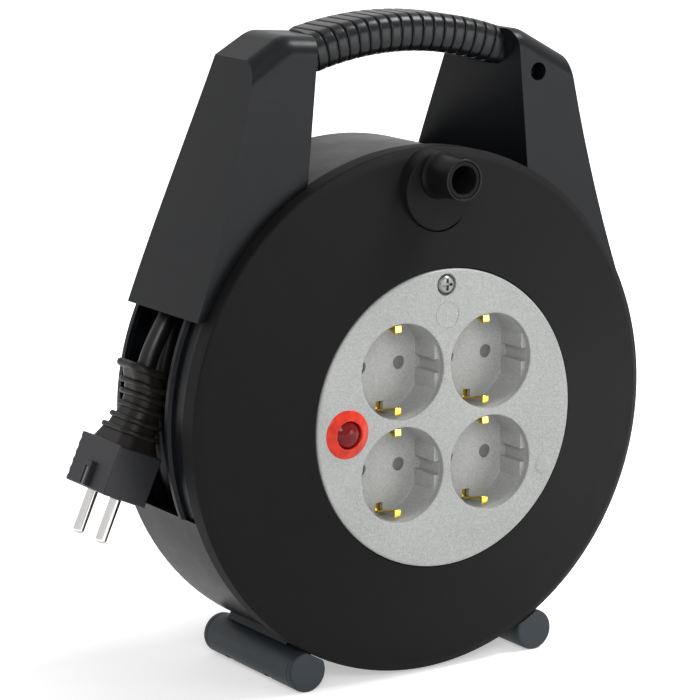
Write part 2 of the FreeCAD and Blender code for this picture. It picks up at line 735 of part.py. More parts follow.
def window_cut():
    """Opening in the left wall and up into the pylon, and the sunk band in front of it."""
    height = (WINDOW_BOTTOM, LEDGE_HEIGHT)
    depth = (WINDOW_FRONT, WINDOW_BACK)
    window = block((-130, -85), depth, height)
    skirt = block((-PYLON_FOOT_X + WALL, -85), depth, (LEDGE_HEIGHT - 1, LEDGE_HEIGHT + 2 * WALL))
    window = window.fuse(skirt)
    band = tube(0, 0, HOUSING_RADIUS + 1, BAND_FLOOR_RADIUS, BAND_FRONT, BAND_BACK)
    return window, band.common(block((-130, -85), (0, 100), height))


def window_bead():
    """Rounded bead along the front edge of the window."""
    middle = (BAND_BACK + WINDOW_FRONT) / 2
    bead = disc_of_revolution([
        (HOUSING_RADIUS - 1, BAND_BACK),
        (HOUSING_RADIUS, BAND_BACK),
        (BEAD_RADIUS, middle - 1),
        (BEAD_RADIUS, middle + 1),
        (HOUSING_RADIUS, WINDOW_FRONT),
        (HOUSING_RADIUS - 1, WINDOW_FRONT),
    ])
    return bead.common(block((-130, -85), (0, 100), (WINDOW_BOTTOM, LEDGE_HEIGHT)))


def housing_frame():
    outside = housing_prism(0, 0).common(rear_space(WALL))
    inside = housing_prism(WALL, FRONT_WALL)
    window, band = window_cut()
    frame = outside.cut(inside)
    frame = frame.cut(rod(0, 0, DRUM_OPENING_RADIUS, 0, HOUSING_FRONT + FRONT_WALL + 1))
    frame = frame.cut(window).cut(band).fuse(window_bead())
    frame = frame.fuse(rod(TOP_SCREW_X, TOP_SCREW_Z, 5.4, PYLON_FRONT + 0.5, TOP_POST_BACK))
    frame = frame.cut(rod(TOP_SCREW_X, TOP_SCREW_Z, 3.75, 0, TOP_SCREW_HEAD_DEPTH + 2.2))
    frame = frame.cut(rod(TOP_SCREW_X, TOP_SCREW_Z, 1.9, 0, TOP_POST_BACK + 1))
    for x, z, post_back in rear_screw_places():
        frame = frame.fuse(rod(x, z, 4.0, PYLON_FRONT + 1, post_back))
        frame = frame.cut(rod(x, z, 1.6, post_back - 24, post_back + 1))
    for side in (-1, 1):
        frame = frame.fuse(foot_saddle(side))
        frame = frame.cut(rod(side * FOOT_X, FOOT_Z, FOOT_RADIUS, 0, 120))
        for cutter in foot_screw_rods(side, 1.6, 100.0, 125.0):
            frame = frame.cut(cutter)
    return frame.cut(handle_core()).removeSplitter()


def foot_saddle(side):
    """Block that fills the corner between the round wall and a foot."""
    angle = math.degrees(math.atan2(FOOT_Z, side * FOOT_X))
    saddle = block((HOUSING_RADIUS - 1.2, 113.0), (30.0, 77.0), (-5.5, 5.5))
    saddle.rotate(Vector(0, 0, 0), FORWARD, angle)
    return saddle


def foot_screw_rods(side, radius, near, far):
    """Rods along the line from the drum's axis through a foot, one near each end of the foot."""
    direction = Vector(side * FOOT_X, 0, FOOT_Z).normalize()
    rods = []
    for depth in (38.0, 69.0):
        start = direction * near + Vector(0, depth, 0)
        rods.append(Part.makeCylinder(radius, far - near, start, direction))
    return rods


def rear_screw_places():
    """X, Z and the post's rear end for each screw that goes in from behind."""
    places = [(side * LOW_SCREW_X, LOW_SCREW_Z, LOW_POST_BACK) for side in (-1, 1)]
    places.append((-TOP_SCREW_X, TOP_SCREW_Z, REAR_TOP_POST_BACK))
    return places


def rear_cover():
    """Dished rear plate with the hub journal and a post for the screw in front."""
    plate = housing_prism(0, 0).common(rear_space(0))
    plate = plate.cut(rear_space(WALL))
    journal_back = REAR_FLAT_DEPTH - WALL + 0.5
    journal = rod(0, 0, JOURNAL_RADIUS, HUB_FRONT - 0.2, journal_back)
    collar = rod(0, 0, HUB_RADIUS + 2, REAR_FLANGE_DEPTH + FLANGE_THICKNESS + 0.5, journal_back)
    cover = plate.fuse(journal).fuse(collar)
    cover = cover.cut(rod(0, 0, 2.0, HUB_FRONT - 1, HUB_FRONT + 26))
    post = rod(TOP_SCREW_X, TOP_SCREW_Z, 4.0, TOP_POST_BACK, 66.0)
    cover = cover.fuse(post.common(rear_space(1.0)))
    cover = cover.cut(rod(TOP_SCREW_X, TOP_SCREW_Z, 1.5, TOP_POST_BACK - 1, 58.0))
    clear_of_frame = housing_prism(WALL + 0.2, FRONT_WALL).common(rear_space(1.0))
    for x, z, post_back in rear_screw_places():
        pad = rod(x, z, 5.4, post_back, post_back + 8.0)
        cover = cover.fuse(pad.common(clear_of_frame))
        cover = cover.cut(rod(x, z, 2.0, post_back - 1, 100.0))
        cover = cover.cut(rod(x, z, 3.8, post_back + SCREW_SEAT_THICKNESS, 100.0))
    return cover.removeSplitter()


def housing_screws():
    """One screw in front at the top of the right pylon and three from behind."""
    head_radius = 3.4
    screws = [cross_head_screw(TOP_SCREW_X, TOP_SCREW_Z, head_radius, TOP_SCREW_HEAD_DEPTH, 1.45, 57.0)]
    for x, z, post_back in rear_screw_places():
        head_face = post_back + SCREW_SEAT_THICKNESS + SCREW_HEAD_RATIO * head_radius
        screws.append(cross_head_screw(x, z, head_radius, head_face, 1.5, post_back - 18, facing=-1))
    return Part.makeCompound(screws)


def hub_washer():
    return tube(0, 0, 15.0, 2.3, HUB_FRONT - 1.8, HUB_FRONT - 0.3)


def hub_screw():
    return cross_head_screw(0, 0, 5.0, HUB_FRONT - 1.8 - 2.75, 1.95, HUB_FRONT + 22)


# Handle

def rounded_section(width, height, corner):
    """Rounded rectangle in the plane X = 0 at the top of the handle's arc."""
    low = HANDLE_ARC_CENTRE + HANDLE_ARC_RADIUS - height / 2
    box = block((0, 1), (HANDLE_DEPTH - width / 2, HANDLE_DEPTH + width / 2), (low, low + height))
    edges = [edge for edge in box.Edges if edge.BoundBox.XLength > 0.5]
    box = box.makeFillet(corner, edges)
    for face in box.Faces:
        if face.BoundBox.XMax < 0.001:
            return face


def arc_bar(section, start, end):
    """Section carried along the handle's arc between two angles in degrees."""
    centre = Vector(0, 0, HANDLE_ARC_CENTRE)
    turned = section.copy()
    turned.rotate(centre, BACKWARD, start)
    return turned.revolve(centre, BACKWARD, end - start)


def handle_core():
    section = rounded_section(HANDLE_CORE_WIDTH, HANDLE_CORE_HEIGHT, 3.5)
    return arc_bar(section, -HANDLE_CORE_ANGLE, HANDLE_CORE_ANGLE)


def handle_grip():
    """Ribbed soft sleeve over the core, trimmed where it meets the pylons."""
    ring_section = rounded_section(GRIP_WIDTH, GRIP_HEIGHT, 6.0)
    body_section = rounded_section(GRIP_WIDTH - 2 * GROOVE_DEPTH, GRIP_HEIGHT - 2 * GROOVE_DEPTH, 5.3)
    reach = GRIP_RINGS * RING_PITCH_ANGLE / 2
    grip = arc_bar(body_section, -reach, reach)
    rings = []
    for index in range(GRIP_RINGS):
        start = -reach + index * RING_PITCH_ANGLE
        rings.append(arc_bar(ring_section, start, start + RING_PITCH_ANGLE - GROOVE_ANGLE))
    grip = grip.fuse(rings)
    grip = grip.cut(handle_core())
    return grip.common(beside_pylons(0))


# Feet

def foot_shape(side):
    foot = rod(side * FOOT_X, FOOT_Z, FOOT_RADIUS, FOOT_FRONT, FOOT_BACK)
    ends = [edge for edge in foot.Edges if edge.BoundBox.YLength < 0.01]
    foot = foot.makeFillet(1.2, ends)
    return foot.cut(rod(0, 0, RIM_CLEARANCE_RADIUS, 0, HOUSING_FRONT))


def foot(side):
    body = foot_shape(side)
    middle = (FOOT_FRONT + FOOT_CAP_LENGTH, FOOT_BACK - FOOT_CAP_LENGTH)
    body = body.common(block((-90, 90), middle, (-120, -80)))
    for cutter in foot_screw_rods(side, 1.9, 100.0, 130.0):
        body = body.cut(cutter)
    for cutter in foot_screw_rods(side, 3.4, 120.0, 130.0):
        body = body.cut(cutter)
    return body


def foot_caps():
    """Four end caps, each with a spigot's width of dark joint left in front of the foot."""
    joint = 0.25
    caps = []
    for side in (-1, 1):
        shape = foot_shape(side)
        for low, high in ((FOOT_FRONT, FOOT_FRONT + FOOT_CAP_LENGTH - joint),
                          (FOOT_BACK - FOOT_CAP_LENGTH + joint, FOOT_BACK)):
            cap = shape.common(block((-90, 90), (low, high), (-120, -80)))
            neck_y = (high, high + joint) if low < HOUSING_FRONT else (low - joint, low)
            neck = rod(side * FOOT_X, FOOT_Z, FOOT_RADIUS - 1.6, *neck_y)
            caps.append(cap.fuse(neck).removeSplitter())
    return Part.makeCompound(caps)


def foot_screws():
    """Four screws driven from below through the feet into the housing."""
    screws = []
    for side in (-1, 1):
        shanks = foot_screw_rods(side, 1.5, 106.0, 120.0)
        heads = foot_screw_rods(side, 3.2, 120.0, 121.8)
        screws += [shank.fuse(head).removeSplitter() for shank, head in zip(shanks, heads)]
    return Part.makeCompound(screws)


# Lead, sleeve and plug

def leaning(shape, lean):
    """Puts a shape made about the local Z axis on the plug's top, leaned towards the drum."""
    shape.Placement = FreeCAD.Placement(PLUG_TOP, FreeCAD.Rotation(BACKWARD, lean))
    return shape


def plug_body():
    """Flat plug body with a grip of five scallops on its far side and two raised contact ribs."""
    half_x = PLUG_THICKNESS / 2
    half_y = PLUG_WIDTH / 2
    body = Part.makeBox(PLUG_THICKNESS, PLUG_WIDTH, PLUG_LENGTH, Vector(-half_x, -half_y, -PLUG_LENGTH))
    body = body.makeFillet(0.7, body.Edges)
    pitch = PLUG_LENGTH / 5.6
    for index in range(5):
        height = -pitch * (index + 0.8)
        scallop = Part.makeCylinder(2.1, PLUG_THICKNESS + 4, Vector(-half_x - 2, half_y + 1.1, height),
                                    Vector(1, 0, 0))
        body = body.cut(scallop)
    for side in (-1, 1):
        start_x = half_x - 1 if side > 0 else -half_x - 1.9
        rib = Part.makeBox(2.9, 5.0, 10.2, Vector(start_x, -2.5, -PLUG_LENGTH + 0.7))
        body = body.fuse(rib)
        groove_x = half_x + 0.9 if side > 0 else -half_x - 2.9
        body = body.cut(Part.makeBox(2.0, 2.6, 9.0, Vector(groove_x, -1.3, -PLUG_LENGTH - 0.5)))
    for side in (-1, 1):
        mouth = Vector(0, side * PIN_PITCH / 2, -PLUG_LENGTH - 1)
        pin_room = Part.makeCylinder(PLUG_PIN_SHANK_RADIUS, PLUG_PIN_ROOT + 1, mouth, UPWARD)
        body = body.cut(pin_room)
    return leaning(body.removeSplitter(), PLUG_LEAN)


def plug_pin(side):
    """Round mains pin, rounded at its tip, on a slimmer shank rooted in the plug body."""
    tip = -PLUG_LENGTH - PLUG_PIN_LENGTH
    foot = Vector(0, side * PIN_PITCH / 2, tip)
    pin = Part.makeCylinder(PLUG_PIN_RADIUS, PLUG_PIN_LENGTH - PLUG_PIN_NECK, foot, UPWARD)
    ends = [edge for edge in pin.Edges if edge.BoundBox.ZMax < tip + 0.01]
    pin = pin.makeFillet(1.6, ends)
    middle = foot + UPWARD * (PLUG_PIN_LENGTH / 2)
    shank = Part.makeCylinder(PLUG_PIN_SHANK_RADIUS, PLUG_PIN_LENGTH / 2 + PLUG_PIN_ROOT, middle, UPWARD)
    return leaning(pin.fuse(shank), PLUG_LEAN)


def plug_earth_contact():
    """Two metal strips lying in the grooves of the plug's raised ribs."""
    strips = []
    for side in (-1, 1):
        strip_x = PLUG_THICKNESS / 2 + 0.9 if side > 0 else -PLUG_THICKNESS / 2 - 1.5
        strip = Part.makeBox(0.6, 2.4, 8.0, Vector(strip_x, -1.2, -PLUG_LENGTH + 0.4))
        strips.append(leaning(strip, PLUG_LEAN))
    return Part.makeCompound(strips)


def ring_outline(across, up, half_x, half_y):
    """Rounded rectangle parallel to the plug's top, with its middle across and up from it."""
    rounding = 6.0
    corners = [(half_x, half_y), (-half_x, half_y), (-half_x, -half_y), (half_x, -half_y)]
    points = [Vector(x, y, 0) for x, y in corners]
    edges = []
    for index, corner in enumerate(points):
        to_last = (points[index - 1] - corner).normalize()
        to_next = (points[(index + 1) % 4] - corner).normalize()
        enter = corner + to_last * rounding
        leave = corner + to_next * rounding
        middle = corner + (to_last + to_next) * (rounding * (1 - math.sqrt(0.5)))
        edges.append(arc(enter, middle, leave))
        following = points[(index + 1) % 4]
        edges.append(line(leave, following - to_next * rounding))
    outline = Part.Wire(edges)
    outline.Placement = FreeCAD.Placement(
        PLUG_TOP + Vector(across, 0, up), FreeCAD.Rotation(BACKWARD, PLUG_LEAN))
    return outline


def plug_sleeve():
    """Flexible strain relief: a waisted neck with five rings and a collar, flared over the plug."""
    lean = math.radians(PLUG_LEAN)
    normal = Vector(math.sin(lean), 0, math.cos(lean))
    base = ring_outline(0.9, -0.4, 9.6, 14.4)
    necks = [base]
    for across, up, half_x, half_y in SLEEVE_RINGS:
        necks.append(ring_outline(across, up, half_x - SLEEVE_NECK_DEPTH, half_y - SLEEVE_NECK_DEPTH))
    sleeve = Part.makeLoft(necks, True, True)
    for across, up, half_x, half_y in SLEEVE_RINGS:
        is_collar = up == SLEEVE_RINGS[-1][1]
        thickness = SLEEVE_COLLAR_THICKNESS if is_collar else SLEEVE_RING_THICKNESS
        ring = Part.Face(ring_outline(across, up, half_x, half_y)).extrude(normal * thickness)
        ring.translate(normal * (-thickness / 2))
        sleeve = sleeve.fuse(ring.makeFillet(thickness / 2 - 0.15, rim_edges(ring, thickness)))
    sleeve = sleeve.cut(tube_along(LEAD_ROUTE, CABLE_RADIUS + 0.05))
    below_plug_top = Part.makeBox(60, 60, 20, Vector(-30, -30, -20))
    return sleeve.cut(leaning(below_plug_top, PLUG_LEAN)).removeSplitter()


def rim_edges(ring, thickness):
    """Edges round both faces of a ring plate, without the short ones through its thickness."""
    through = [edge for edge in ring.Edges if abs(edge.Length - thickness) < 0.01]
    return [edge for edge in ring.Edges if not any(edge.isSame(other) for other in through)]


LEAD_ROUTE = [
    Vector(-107.4, 61.2, 11.4),
    Vector(-105.2, 61.2, 22.4),
    Vector(-100.2, 61.4, 32.8),
    Vector(-94.0, 62.1, 42.0),
    Vector(-87.2, 63.6, 51.8),
    Vector(-79.8, 65.0, 61.4),
    Vector(-72.0, 66.0, 69.6),
]


def tube_along(route, radius):
    """Tube of straight runs and tangent arcs; prints each arc's radius and checks the volume."""
    edges = []
    start = route[0]
    for before, corner, after in zip(route, route[1:], route[2:]):
        inward = (corner - before).normalize()
        outward = (after - corner).normalize()
        turn = inward.getAngle(outward)
        trim = 0.45 * min((corner - before).Length, (after - corner).Length)
        bend = trim / math.tan(turn / 2)
        print("  bend radius", round(bend, 1), "turn", round(math.degrees(turn), 1))
        enter = corner - inward * trim
        leave = corner + outward * trim
        towards_centre = (outward - inward).normalize()
        to_centre = math.sqrt(trim ** 2 + bend ** 2)
        middle = corner + towards_centre * (to_centre - bend)
        edges.append(line(start, enter))
        edges.append(arc(enter, middle, leave))
        start = leave
    edges.append(line(start, route[-1]))
    path = Part.Wire(edges)
    normal = (route[1] - route[0]).normalize()
    profile = Part.Wire(Part.makeCircle(radius, route[0], normal))
    shape = path.makePipeShell([profile], True, False)
    expected = math.pi * radius ** 2 * path.Length
    print("  length", round(path.Length, 1), "volume / expected", round(shape.Volume / expected, 4))
    return shape


def cable_lead():
    return tube_along(LEAD_ROUTE, CABLE_RADIUS)


def build():
    os.makedirs("parts", exist_ok=True)
    save("front_disc", front_disc())
    save("winding_knob", winding_knob())
    save("socket_panel", socket_panel())
    for name, x, z in socket_places():
        save("socket_cup_" + name, socket_cup(x, z))
        save("earth_clip_" + name, earth_clip(x, z))
    save("line_contact_bar", contact_bar(1, SOCKET_MIDDLE_Z - SOCKET_SPACING_Z / 2 - 10, 6))
    save("neutral_contact_bar", contact_bar(-1, SOCKET_MIDDLE_Z, 14))
    save("earth_bar", earth_bar())
    save("contact_carrier", contact_carrier())
    save("panel_screw", cross_head_screw(
        0, PANEL_SCREW_Z, PANEL_SCREW_HEAD_RADIUS, PANEL_SCREW_FRONT, 1.45, 12.0))
    carrier_head = CARRIER_FLOOR + 2 + SCREW_HEAD_RATIO * 3.2
    save("carrier_screw", cross_head_screw(
        SOCKET_MIDDLE_X, SOCKET_MIDDLE_Z, 3.2, carrier_head, 1.45, 12.0, facing=-1))
    save("snap_plug", snap_plug())
    save("cutout_ring", cutout_ring())
    save("reset_button", reset_button())
    save("button_spring", button_spring())
    save("cutout_body", cutout_body())
    save("reel_core", reel_core())
    save("rear_flange", rear_flange())
    save("drum_screws", drum_screws())
    save("cable_gland", cable_gland())
    save("gland_nut", gland_nut())
    save("cable_tail", cable_tail())
    save("cable_coil", cable_coil())
    save("housing_frame", housing_frame())
    save("rear_cover", rear_cover())
    save("housing_screws", housing_screws())
    save("hub_washer", hub_washer())
    save("hub_screw", hub_screw())
    save("handle_core", handle_core())
    save("handle_grip", handle_grip())
    for name, side in SIDES.items():
        save("foot_" + name, foot(side))
    save("foot_caps", foot_caps())
    save("foot_screws", foot_screws())
    save("plug_body", plug_body())
    save("plug_sleeve", plug_sleeve())
    save("plug_pin_front", plug_pin(-1))
    save("plug_pin_rear", plug_pin(1))
    save("plug_earth_contacts", plug_earth_contact())
    save("cable_lead", cable_lead())


build()
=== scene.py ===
import math

import bpy
from bpy.props import FloatProperty, FloatVectorProperty, IntProperty, PointerProperty
from mathutils import Matrix, Vector


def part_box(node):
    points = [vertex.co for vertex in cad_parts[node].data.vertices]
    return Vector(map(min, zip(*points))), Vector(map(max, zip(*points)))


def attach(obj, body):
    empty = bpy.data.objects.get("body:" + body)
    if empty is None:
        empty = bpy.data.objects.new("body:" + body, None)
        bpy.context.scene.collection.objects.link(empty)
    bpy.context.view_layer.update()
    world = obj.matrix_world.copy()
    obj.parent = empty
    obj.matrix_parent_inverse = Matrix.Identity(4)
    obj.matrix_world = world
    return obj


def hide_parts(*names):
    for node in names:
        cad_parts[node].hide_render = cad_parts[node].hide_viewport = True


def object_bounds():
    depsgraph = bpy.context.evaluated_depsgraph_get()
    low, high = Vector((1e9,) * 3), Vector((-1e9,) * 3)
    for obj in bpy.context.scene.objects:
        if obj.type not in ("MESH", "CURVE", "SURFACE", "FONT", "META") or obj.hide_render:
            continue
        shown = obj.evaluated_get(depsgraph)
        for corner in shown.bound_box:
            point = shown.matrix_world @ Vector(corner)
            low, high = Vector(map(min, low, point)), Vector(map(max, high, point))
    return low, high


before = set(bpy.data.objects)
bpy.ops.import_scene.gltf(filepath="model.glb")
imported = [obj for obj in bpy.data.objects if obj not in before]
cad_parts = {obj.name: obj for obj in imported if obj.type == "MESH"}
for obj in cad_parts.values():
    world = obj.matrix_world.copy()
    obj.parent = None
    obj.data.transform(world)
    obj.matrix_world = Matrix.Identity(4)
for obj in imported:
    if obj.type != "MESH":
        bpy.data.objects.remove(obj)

bl_info = {
    "name": "Extension cord reel",
    "version": (1, 0, 0),
    "blender": (4, 5, 0),
    "location": "3D View > Sidebar > Reel",
    "description": "Builds the dressed pieces of a box-type extension cord reel around its frame",
    "category": "Object",
}

# Everything is placed from the frame: the drum's axis, and the front face of the socket panel.
MM = 0.001
CAD_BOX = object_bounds()
DISC_LOW, DISC_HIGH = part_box("front_disc")
PANEL_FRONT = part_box("socket_panel")[0][1]
ORIGIN = Vector((0.0, PANEL_FRONT, (DISC_LOW[2] + DISC_HIGH[2]) / 2))
BACKWARD = Vector((0, 1, 0))
UPWARD = Vector((0, 0, 1))
NOWHERE = Vector((0, 0, 0))

# Camera, in millimetres from the drum's axis at the panel's front
CAMERA_PLACE = (-737.0, -1080.4, 297.7)
CAMERA_AZIMUTH = -32.589
CAMERA_ELEVATION = 11.638
PHOTO_SIZE = 700
PHOTO_FOCAL_LENGTH = 3300

# Places and sizes in millimetres, measured the same way: the drum's front
SOCKET_MIDDLES = {
    "upper_left": (-21.025, 21.55),
    "upper_right": (21.975, 21.55),
    "lower_left": (-21.025, -20.99),
    "lower_right": (21.975, -20.99),
}
RECESS_RADIUS = 19.75
RECESS_DEPTH = 17.5
CUP_BACK = 19.9
FLAT_REACH = 17.3
FLAT_GAP = 5.6
PIN_OFFSET = 9.5
PIN_HOLE_RADIUS = 2.75
CLIP_WIDTH = 3.0
CLIP_SLOT_WIDTH = 3.6
PANEL_SCREW = (0, 55.3)
PANEL_RING_MARK = (0.2, 42.8)
PANEL_DISC_MARK = (-46.6, -27.8)
PANEL_BLANK = (48.6, -25.4)
CUTOUT = (-47.6, -0.8)
BUTTON_RADIUS = 5.5
DOME_RADIUS = 8.5
DOME_FRONT = -2.9
KNOB = (0.0, 99.3)
PAD = (0.0, 92.8)
PAD_RADIUS = 16.0

# Handle: an arc with ridges that are set out by angle, in degrees
HANDLE_CENTRE_HEIGHT = 6.9
HANDLE_RADIUS = 147.05
HANDLE_DEPTH = 44.5
GRIP_WIDTH = 29.0
GRIP_GROOVE = 0.8
RING_PITCH = 2.0
RING_GAP = 0.2
RINGS_AT_PYLON = 4

# Inner faces of the pylons, right and left: distance at a height, and turn for their draft
PYLON_INNER = {1: (55.4, 14.04), -1: (51.8, 11.31)}
PYLON_INNER_HEIGHT = 97.0
PYLON_INNER_LEAN = 5.14
PYLON_FRONT = 22.5

# Feet, and the space that the disc's rim turns in
FOOT_X = 56.67
FOOT_Z = -102.09
FOOT_RADIUS = 8.6
FOOT_SCREW_DEPTHS = (38.0, 69.0)
RIM_CLEARANCE_RADIUS = 109.9
RIM_CLEARANCE_DEPTH = 25.5

# Plug, which leans in its own plane, in degrees
PLUG_TOP = (-116.2, 61.2, -8.4)
PLUG_LEAN = 24.0
PLUG_HALF_THICKNESS = 10.25
PLUG_HALF_WIDTH = 16.25
PLUG_LENGTH = 20.8
PLUG_PIN_LENGTH = 19.0
# The sleeve's foot and rings, from the plug's top: across, up, half thickness, half width
SLEEVE_FOOT = (0.9, -0.4, 9.6, 14.4)
SLEEVE_RINGS = (
    (3.65, 4.9, 9.3, 12.7),
    (6.15, 9.2, 8.8, 11.2),
    (8.65, 13.8, 8.4, 10.3),
    (10.0, 18.5, 8.4, 10.4),
    (10.5, 23.0, 8.7, 10.8),
    (9.3, 30.3, 8.6, 10.5),
)

# Wound cable: points and angles of a turn, in degrees, and the two ends of its layers
CORE_RADIUS = 66.9
CABLE_PITCH = 7.76
FULL_LAYERS = (70.9, 77.7, 84.4)
TOP_LAYER = 91.2
TURNS_PER_LAYER = 6
TURN_POINTS = 24
CLIMB_FROM = 300.0
COIL_DEPTHS = (32.4, 75.1)
COIL_START_ANGLE = -90.0
COIL_END_ANGLE = 137.0
COIL_START_RADIUS = 69.2
# The lead, from the coil through the window and down into the plug's sleeve
LEAD_ROUTE = (
    (-72.0, 66.0, 69.6),
    (-79.8, 65.0, 61.4),
    (-87.2, 63.6, 51.8),
    (-94.0, 62.1, 42.0),
    (-100.2, 61.4, 32.8),
    (-105.2, 61.2, 22.4),
    (-107.4, 61.2, 11.4),
)

# Surroundings: light they give; how white the floor is near the reel, and where that ends, in metres
SURROUNDING_LIGHT = 0.45
NEAR_FLOOR_WHITE = 0.45
FLOOR_FADE = (0.12, 0.45)
# Softboxes: name, place and size in metres, and power in watts
SOFTBOXES = (
    ("key softbox", (-0.95, -1.7, 1.1), 0.8, 17.0),
    ("front softbox", (1.15, -1.75, 0.15), 1.0, 13.0),
    ("top softbox", (0.9, -0.32, 1.5), 0.6, 24.0),
)

# Two points nearer than this, in metres, are one
SAME_PLACE = 1e-6


def at(x, y, z):
    """Point in the frame from millimetres: right, back and up from the drum's axis at the panel."""
    return ORIGIN + Vector((x, y, z)) * MM


def on_side(side, near, far):
    """Low and high end of a stretch that lies on the left (-1) or the right (1) side."""
    return sorted((side * near, side * far))


# Properties

def colour_property(name, description, default):
    """Colour without alpha, as a property."""
    return FloatVectorProperty(
        name=name, description=description, default=default, subtype="COLOR", size=3, min=0.0, max=1.0)


class ReelColours(bpy.types.PropertyGroup):
    disc: colour_property("Disc", "Matte black of the turning front disc", (0.0062, 0.0061, 0.0062))
    # The blue in the housing's and the grip's black is partly their own tint and partly painted sheen:
    # it stands in for the cool tint of their reflections.
    housing: colour_property("Housing", "Blue-black of the box housing", (0.0048, 0.0054, 0.0068))
    grip: colour_property("Grip", "Black of the ribbed handle sleeve", (0.0055, 0.006, 0.0072))
    feet: colour_property("Feet", "Grey-blue of the round feet", (0.024, 0.032, 0.039))
    panel: colour_property("Panel", "Light grey of the socket panel", (0.3, 0.308, 0.3))
    cup: colour_property("Sockets", "Grey of the socket recesses", (0.37, 0.375, 0.366))
    ring: colour_property("Ring", "Red of the ring round the reset button", (0.54, 0.032, 0.016))
    button: colour_property("Button", "Deep red of the reset button", (0.14, 0.002, 0.004))
    cable: colour_property("Cable", "Black of the cable's sheath", (0.006, 0.006, 0.0072))
    plug: colour_property("Plug", "Black of the plug's body", (0.014, 0.0145, 0.0175))
    floor: colour_property("Floor", "Pale studio floor", (0.86, 0.86, 0.86))


class ReelSizes(bpy.types.PropertyGroup):
    cable_diameter: FloatProperty(
        name="Cable diameter", description="Diameter of the cable's sheath",
        default=0.0078, min=0.006, max=0.009, unit="LENGTH", precision=4)
    edge_rounding: FloatProperty(
        name="Edge rounding", description="Radius of the housing's moulded edges",
        default=0.0011, min=0.0001, max=0.002, unit="LENGTH", precision=4)
    grip_rings: IntProperty(
        name="Grip rings", description="Number of ridges along the handle", default=21, min=5, max=30)
    ring_height: FloatProperty(
        name="Ring height", description="Height of the handle's section over its ridges",
        default=0.016, min=0.015, max=0.02, unit="LENGTH", precision=4)
    turn_steps: IntProperty(
        name="Turning steps", description="Flats round a large turned piece",
        default=160, min=48, max=256)


# Working in edit mode

def rest():
    """Leaves edit mode and selects nothing."""
    if bpy.context.object is not None and bpy.context.object.mode != "OBJECT":
        bpy.ops.object.mode_set(mode="OBJECT")
    bpy.ops.object.select_all(action="DESELECT")


def choose(piece):
    """Makes a piece the only selected and the active object."""
    rest()
    piece.select_set(True)
    bpy.context.view_layer.objects.active = piece


def edit(piece):
    """Opens a piece for editing with all of it selected."""
    choose(piece)
    bpy.ops.object.mode_set(mode="EDIT")
    bpy.ops.mesh.select_mode(type="VERT")
    bpy.ops.mesh.select_all(action="SELECT")


def pick(piece, kind, test):
    """In edit mode, selects the vertices or the edges whose places pass a test."""
    bpy.ops.mesh.select_mode(type=kind)
    bpy.ops.mesh.select_all(action="DESELECT")
    bpy.ops.object.mode_set(mode="OBJECT")
    mesh = piece.data
    if kind == "VERT":
        for vertex in mesh.vertices:
            vertex.select = test(vertex.co)
    else:
        for edge in mesh.edges:
            edge.select = test(*[mesh.vertices[index].co for index in edge.vertices])
    bpy.ops.object.mode_set(mode="EDIT")


def tidy_mesh():
    """In edit mode, merges doubles and turns all faces outwards."""
    bpy.ops.mesh.select_all(action="SELECT")
    bpy.ops.mesh.remove_doubles(threshold=0.002 * MM)
    bpy.ops.mesh.normals_make_consistent(inside=False)


def draw(name, corners, closed):
    """A line through (place, rounding) corners, drawn by extruding a vertex; left in edit mode."""
    places = [place for place, _ in corners]
    rest()
    bpy.ops.mesh.primitive_plane_add(size=MM, location=(0, 0, 0))
    piece = bpy.context.object
    piece.name = name
    piece.data.name = name
    edit(piece)
    bpy.ops.mesh.merge(type="CENTER")
    bpy.ops.transform.translate(value=places[0])
    for here, there in zip(places, places[1:]):
        bpy.ops.mesh.extrude_vertices_move(TRANSFORM_OT_translate={"value": there - here})
    if closed:
        ends = (places[0], places[-1])
        pick(piece, "VERT", lambda co: min((co - end).length for end in ends) < SAME_PLACE)
        bpy.ops.mesh.edge_face_add()
    for place, rounding in corners:
        if rounding > 0:
            pick(piece, "VERT", lambda co: (co - place).length < SAME_PLACE)
            bpy.ops.mesh.bevel(offset=rounding * MM, segments=4, affect="VERTICES")
    bpy.ops.mesh.select_all(action="SELECT")
    return piece


def revolve(name, profile, place, centre, axis, steps):
    """Profile of (radius, height) or (radius, height, rounding), placed and turned round an axis."""
    corners = [(place(*point[:2]), point[2] if len(point) > 2 else 0.0) for point in profile]
    closed = profile[0][0] > 0 or profile[-1][0] > 0
    piece = draw(name, corners, closed)
    bpy.ops.mesh.spin(steps=steps, angle=math.tau, center=centre, axis=axis)
    tidy_mesh()
    rest()
    return piece


def lathe(name, profile, middle=(0, 0), steps=96):
    """Profile turned about a line along the drum's axis; its heights are depths behind the panel."""
    x, z = middle

    def place(radius, depth):
        return at(x + radius, depth, z)

    return revolve(name, profile, place, at(x, 0, z), BACKWARD, steps)


def turn_upright(name, profile, steps):
    """Profile turned about the world's Z axis."""
    def place(radius, height):
        return Vector((radius, 0, height)) * MM

    return revolve(name, profile, place, NOWHERE, UPWARD, steps)


def box_between(name, low, high, origin=ORIGIN):
    """Box between two corners in millimetres, from the drum's origin or from another place."""
    rest()
    size = [(b - a) * MM for a, b in zip(low, high)]
    middle = origin + Vector([(a + b) / 2 for a, b in zip(low, high)]) * MM
    bpy.ops.mesh.primitive_cube_add(size=1, location=middle, scale=size)
    piece = bpy.context.object
    piece.name = name
    bpy.ops.object.transform_apply()
    return piece


def rod(name, start, end, radius, sides=48):
    """Cylinder between two places in the frame."""
    rest()
    along = end - start
    turn = along.to_track_quat("Z", "Y").to_euler()
    bpy.ops.mesh.primitive_cylinder_add(
        vertices=sides, radius=radius * MM, depth=along.length,
        location=(start + end) / 2, rotation=turn)
    piece = bpy.context.object
    piece.name = name
    bpy.ops.object.transform_apply()
    return piece


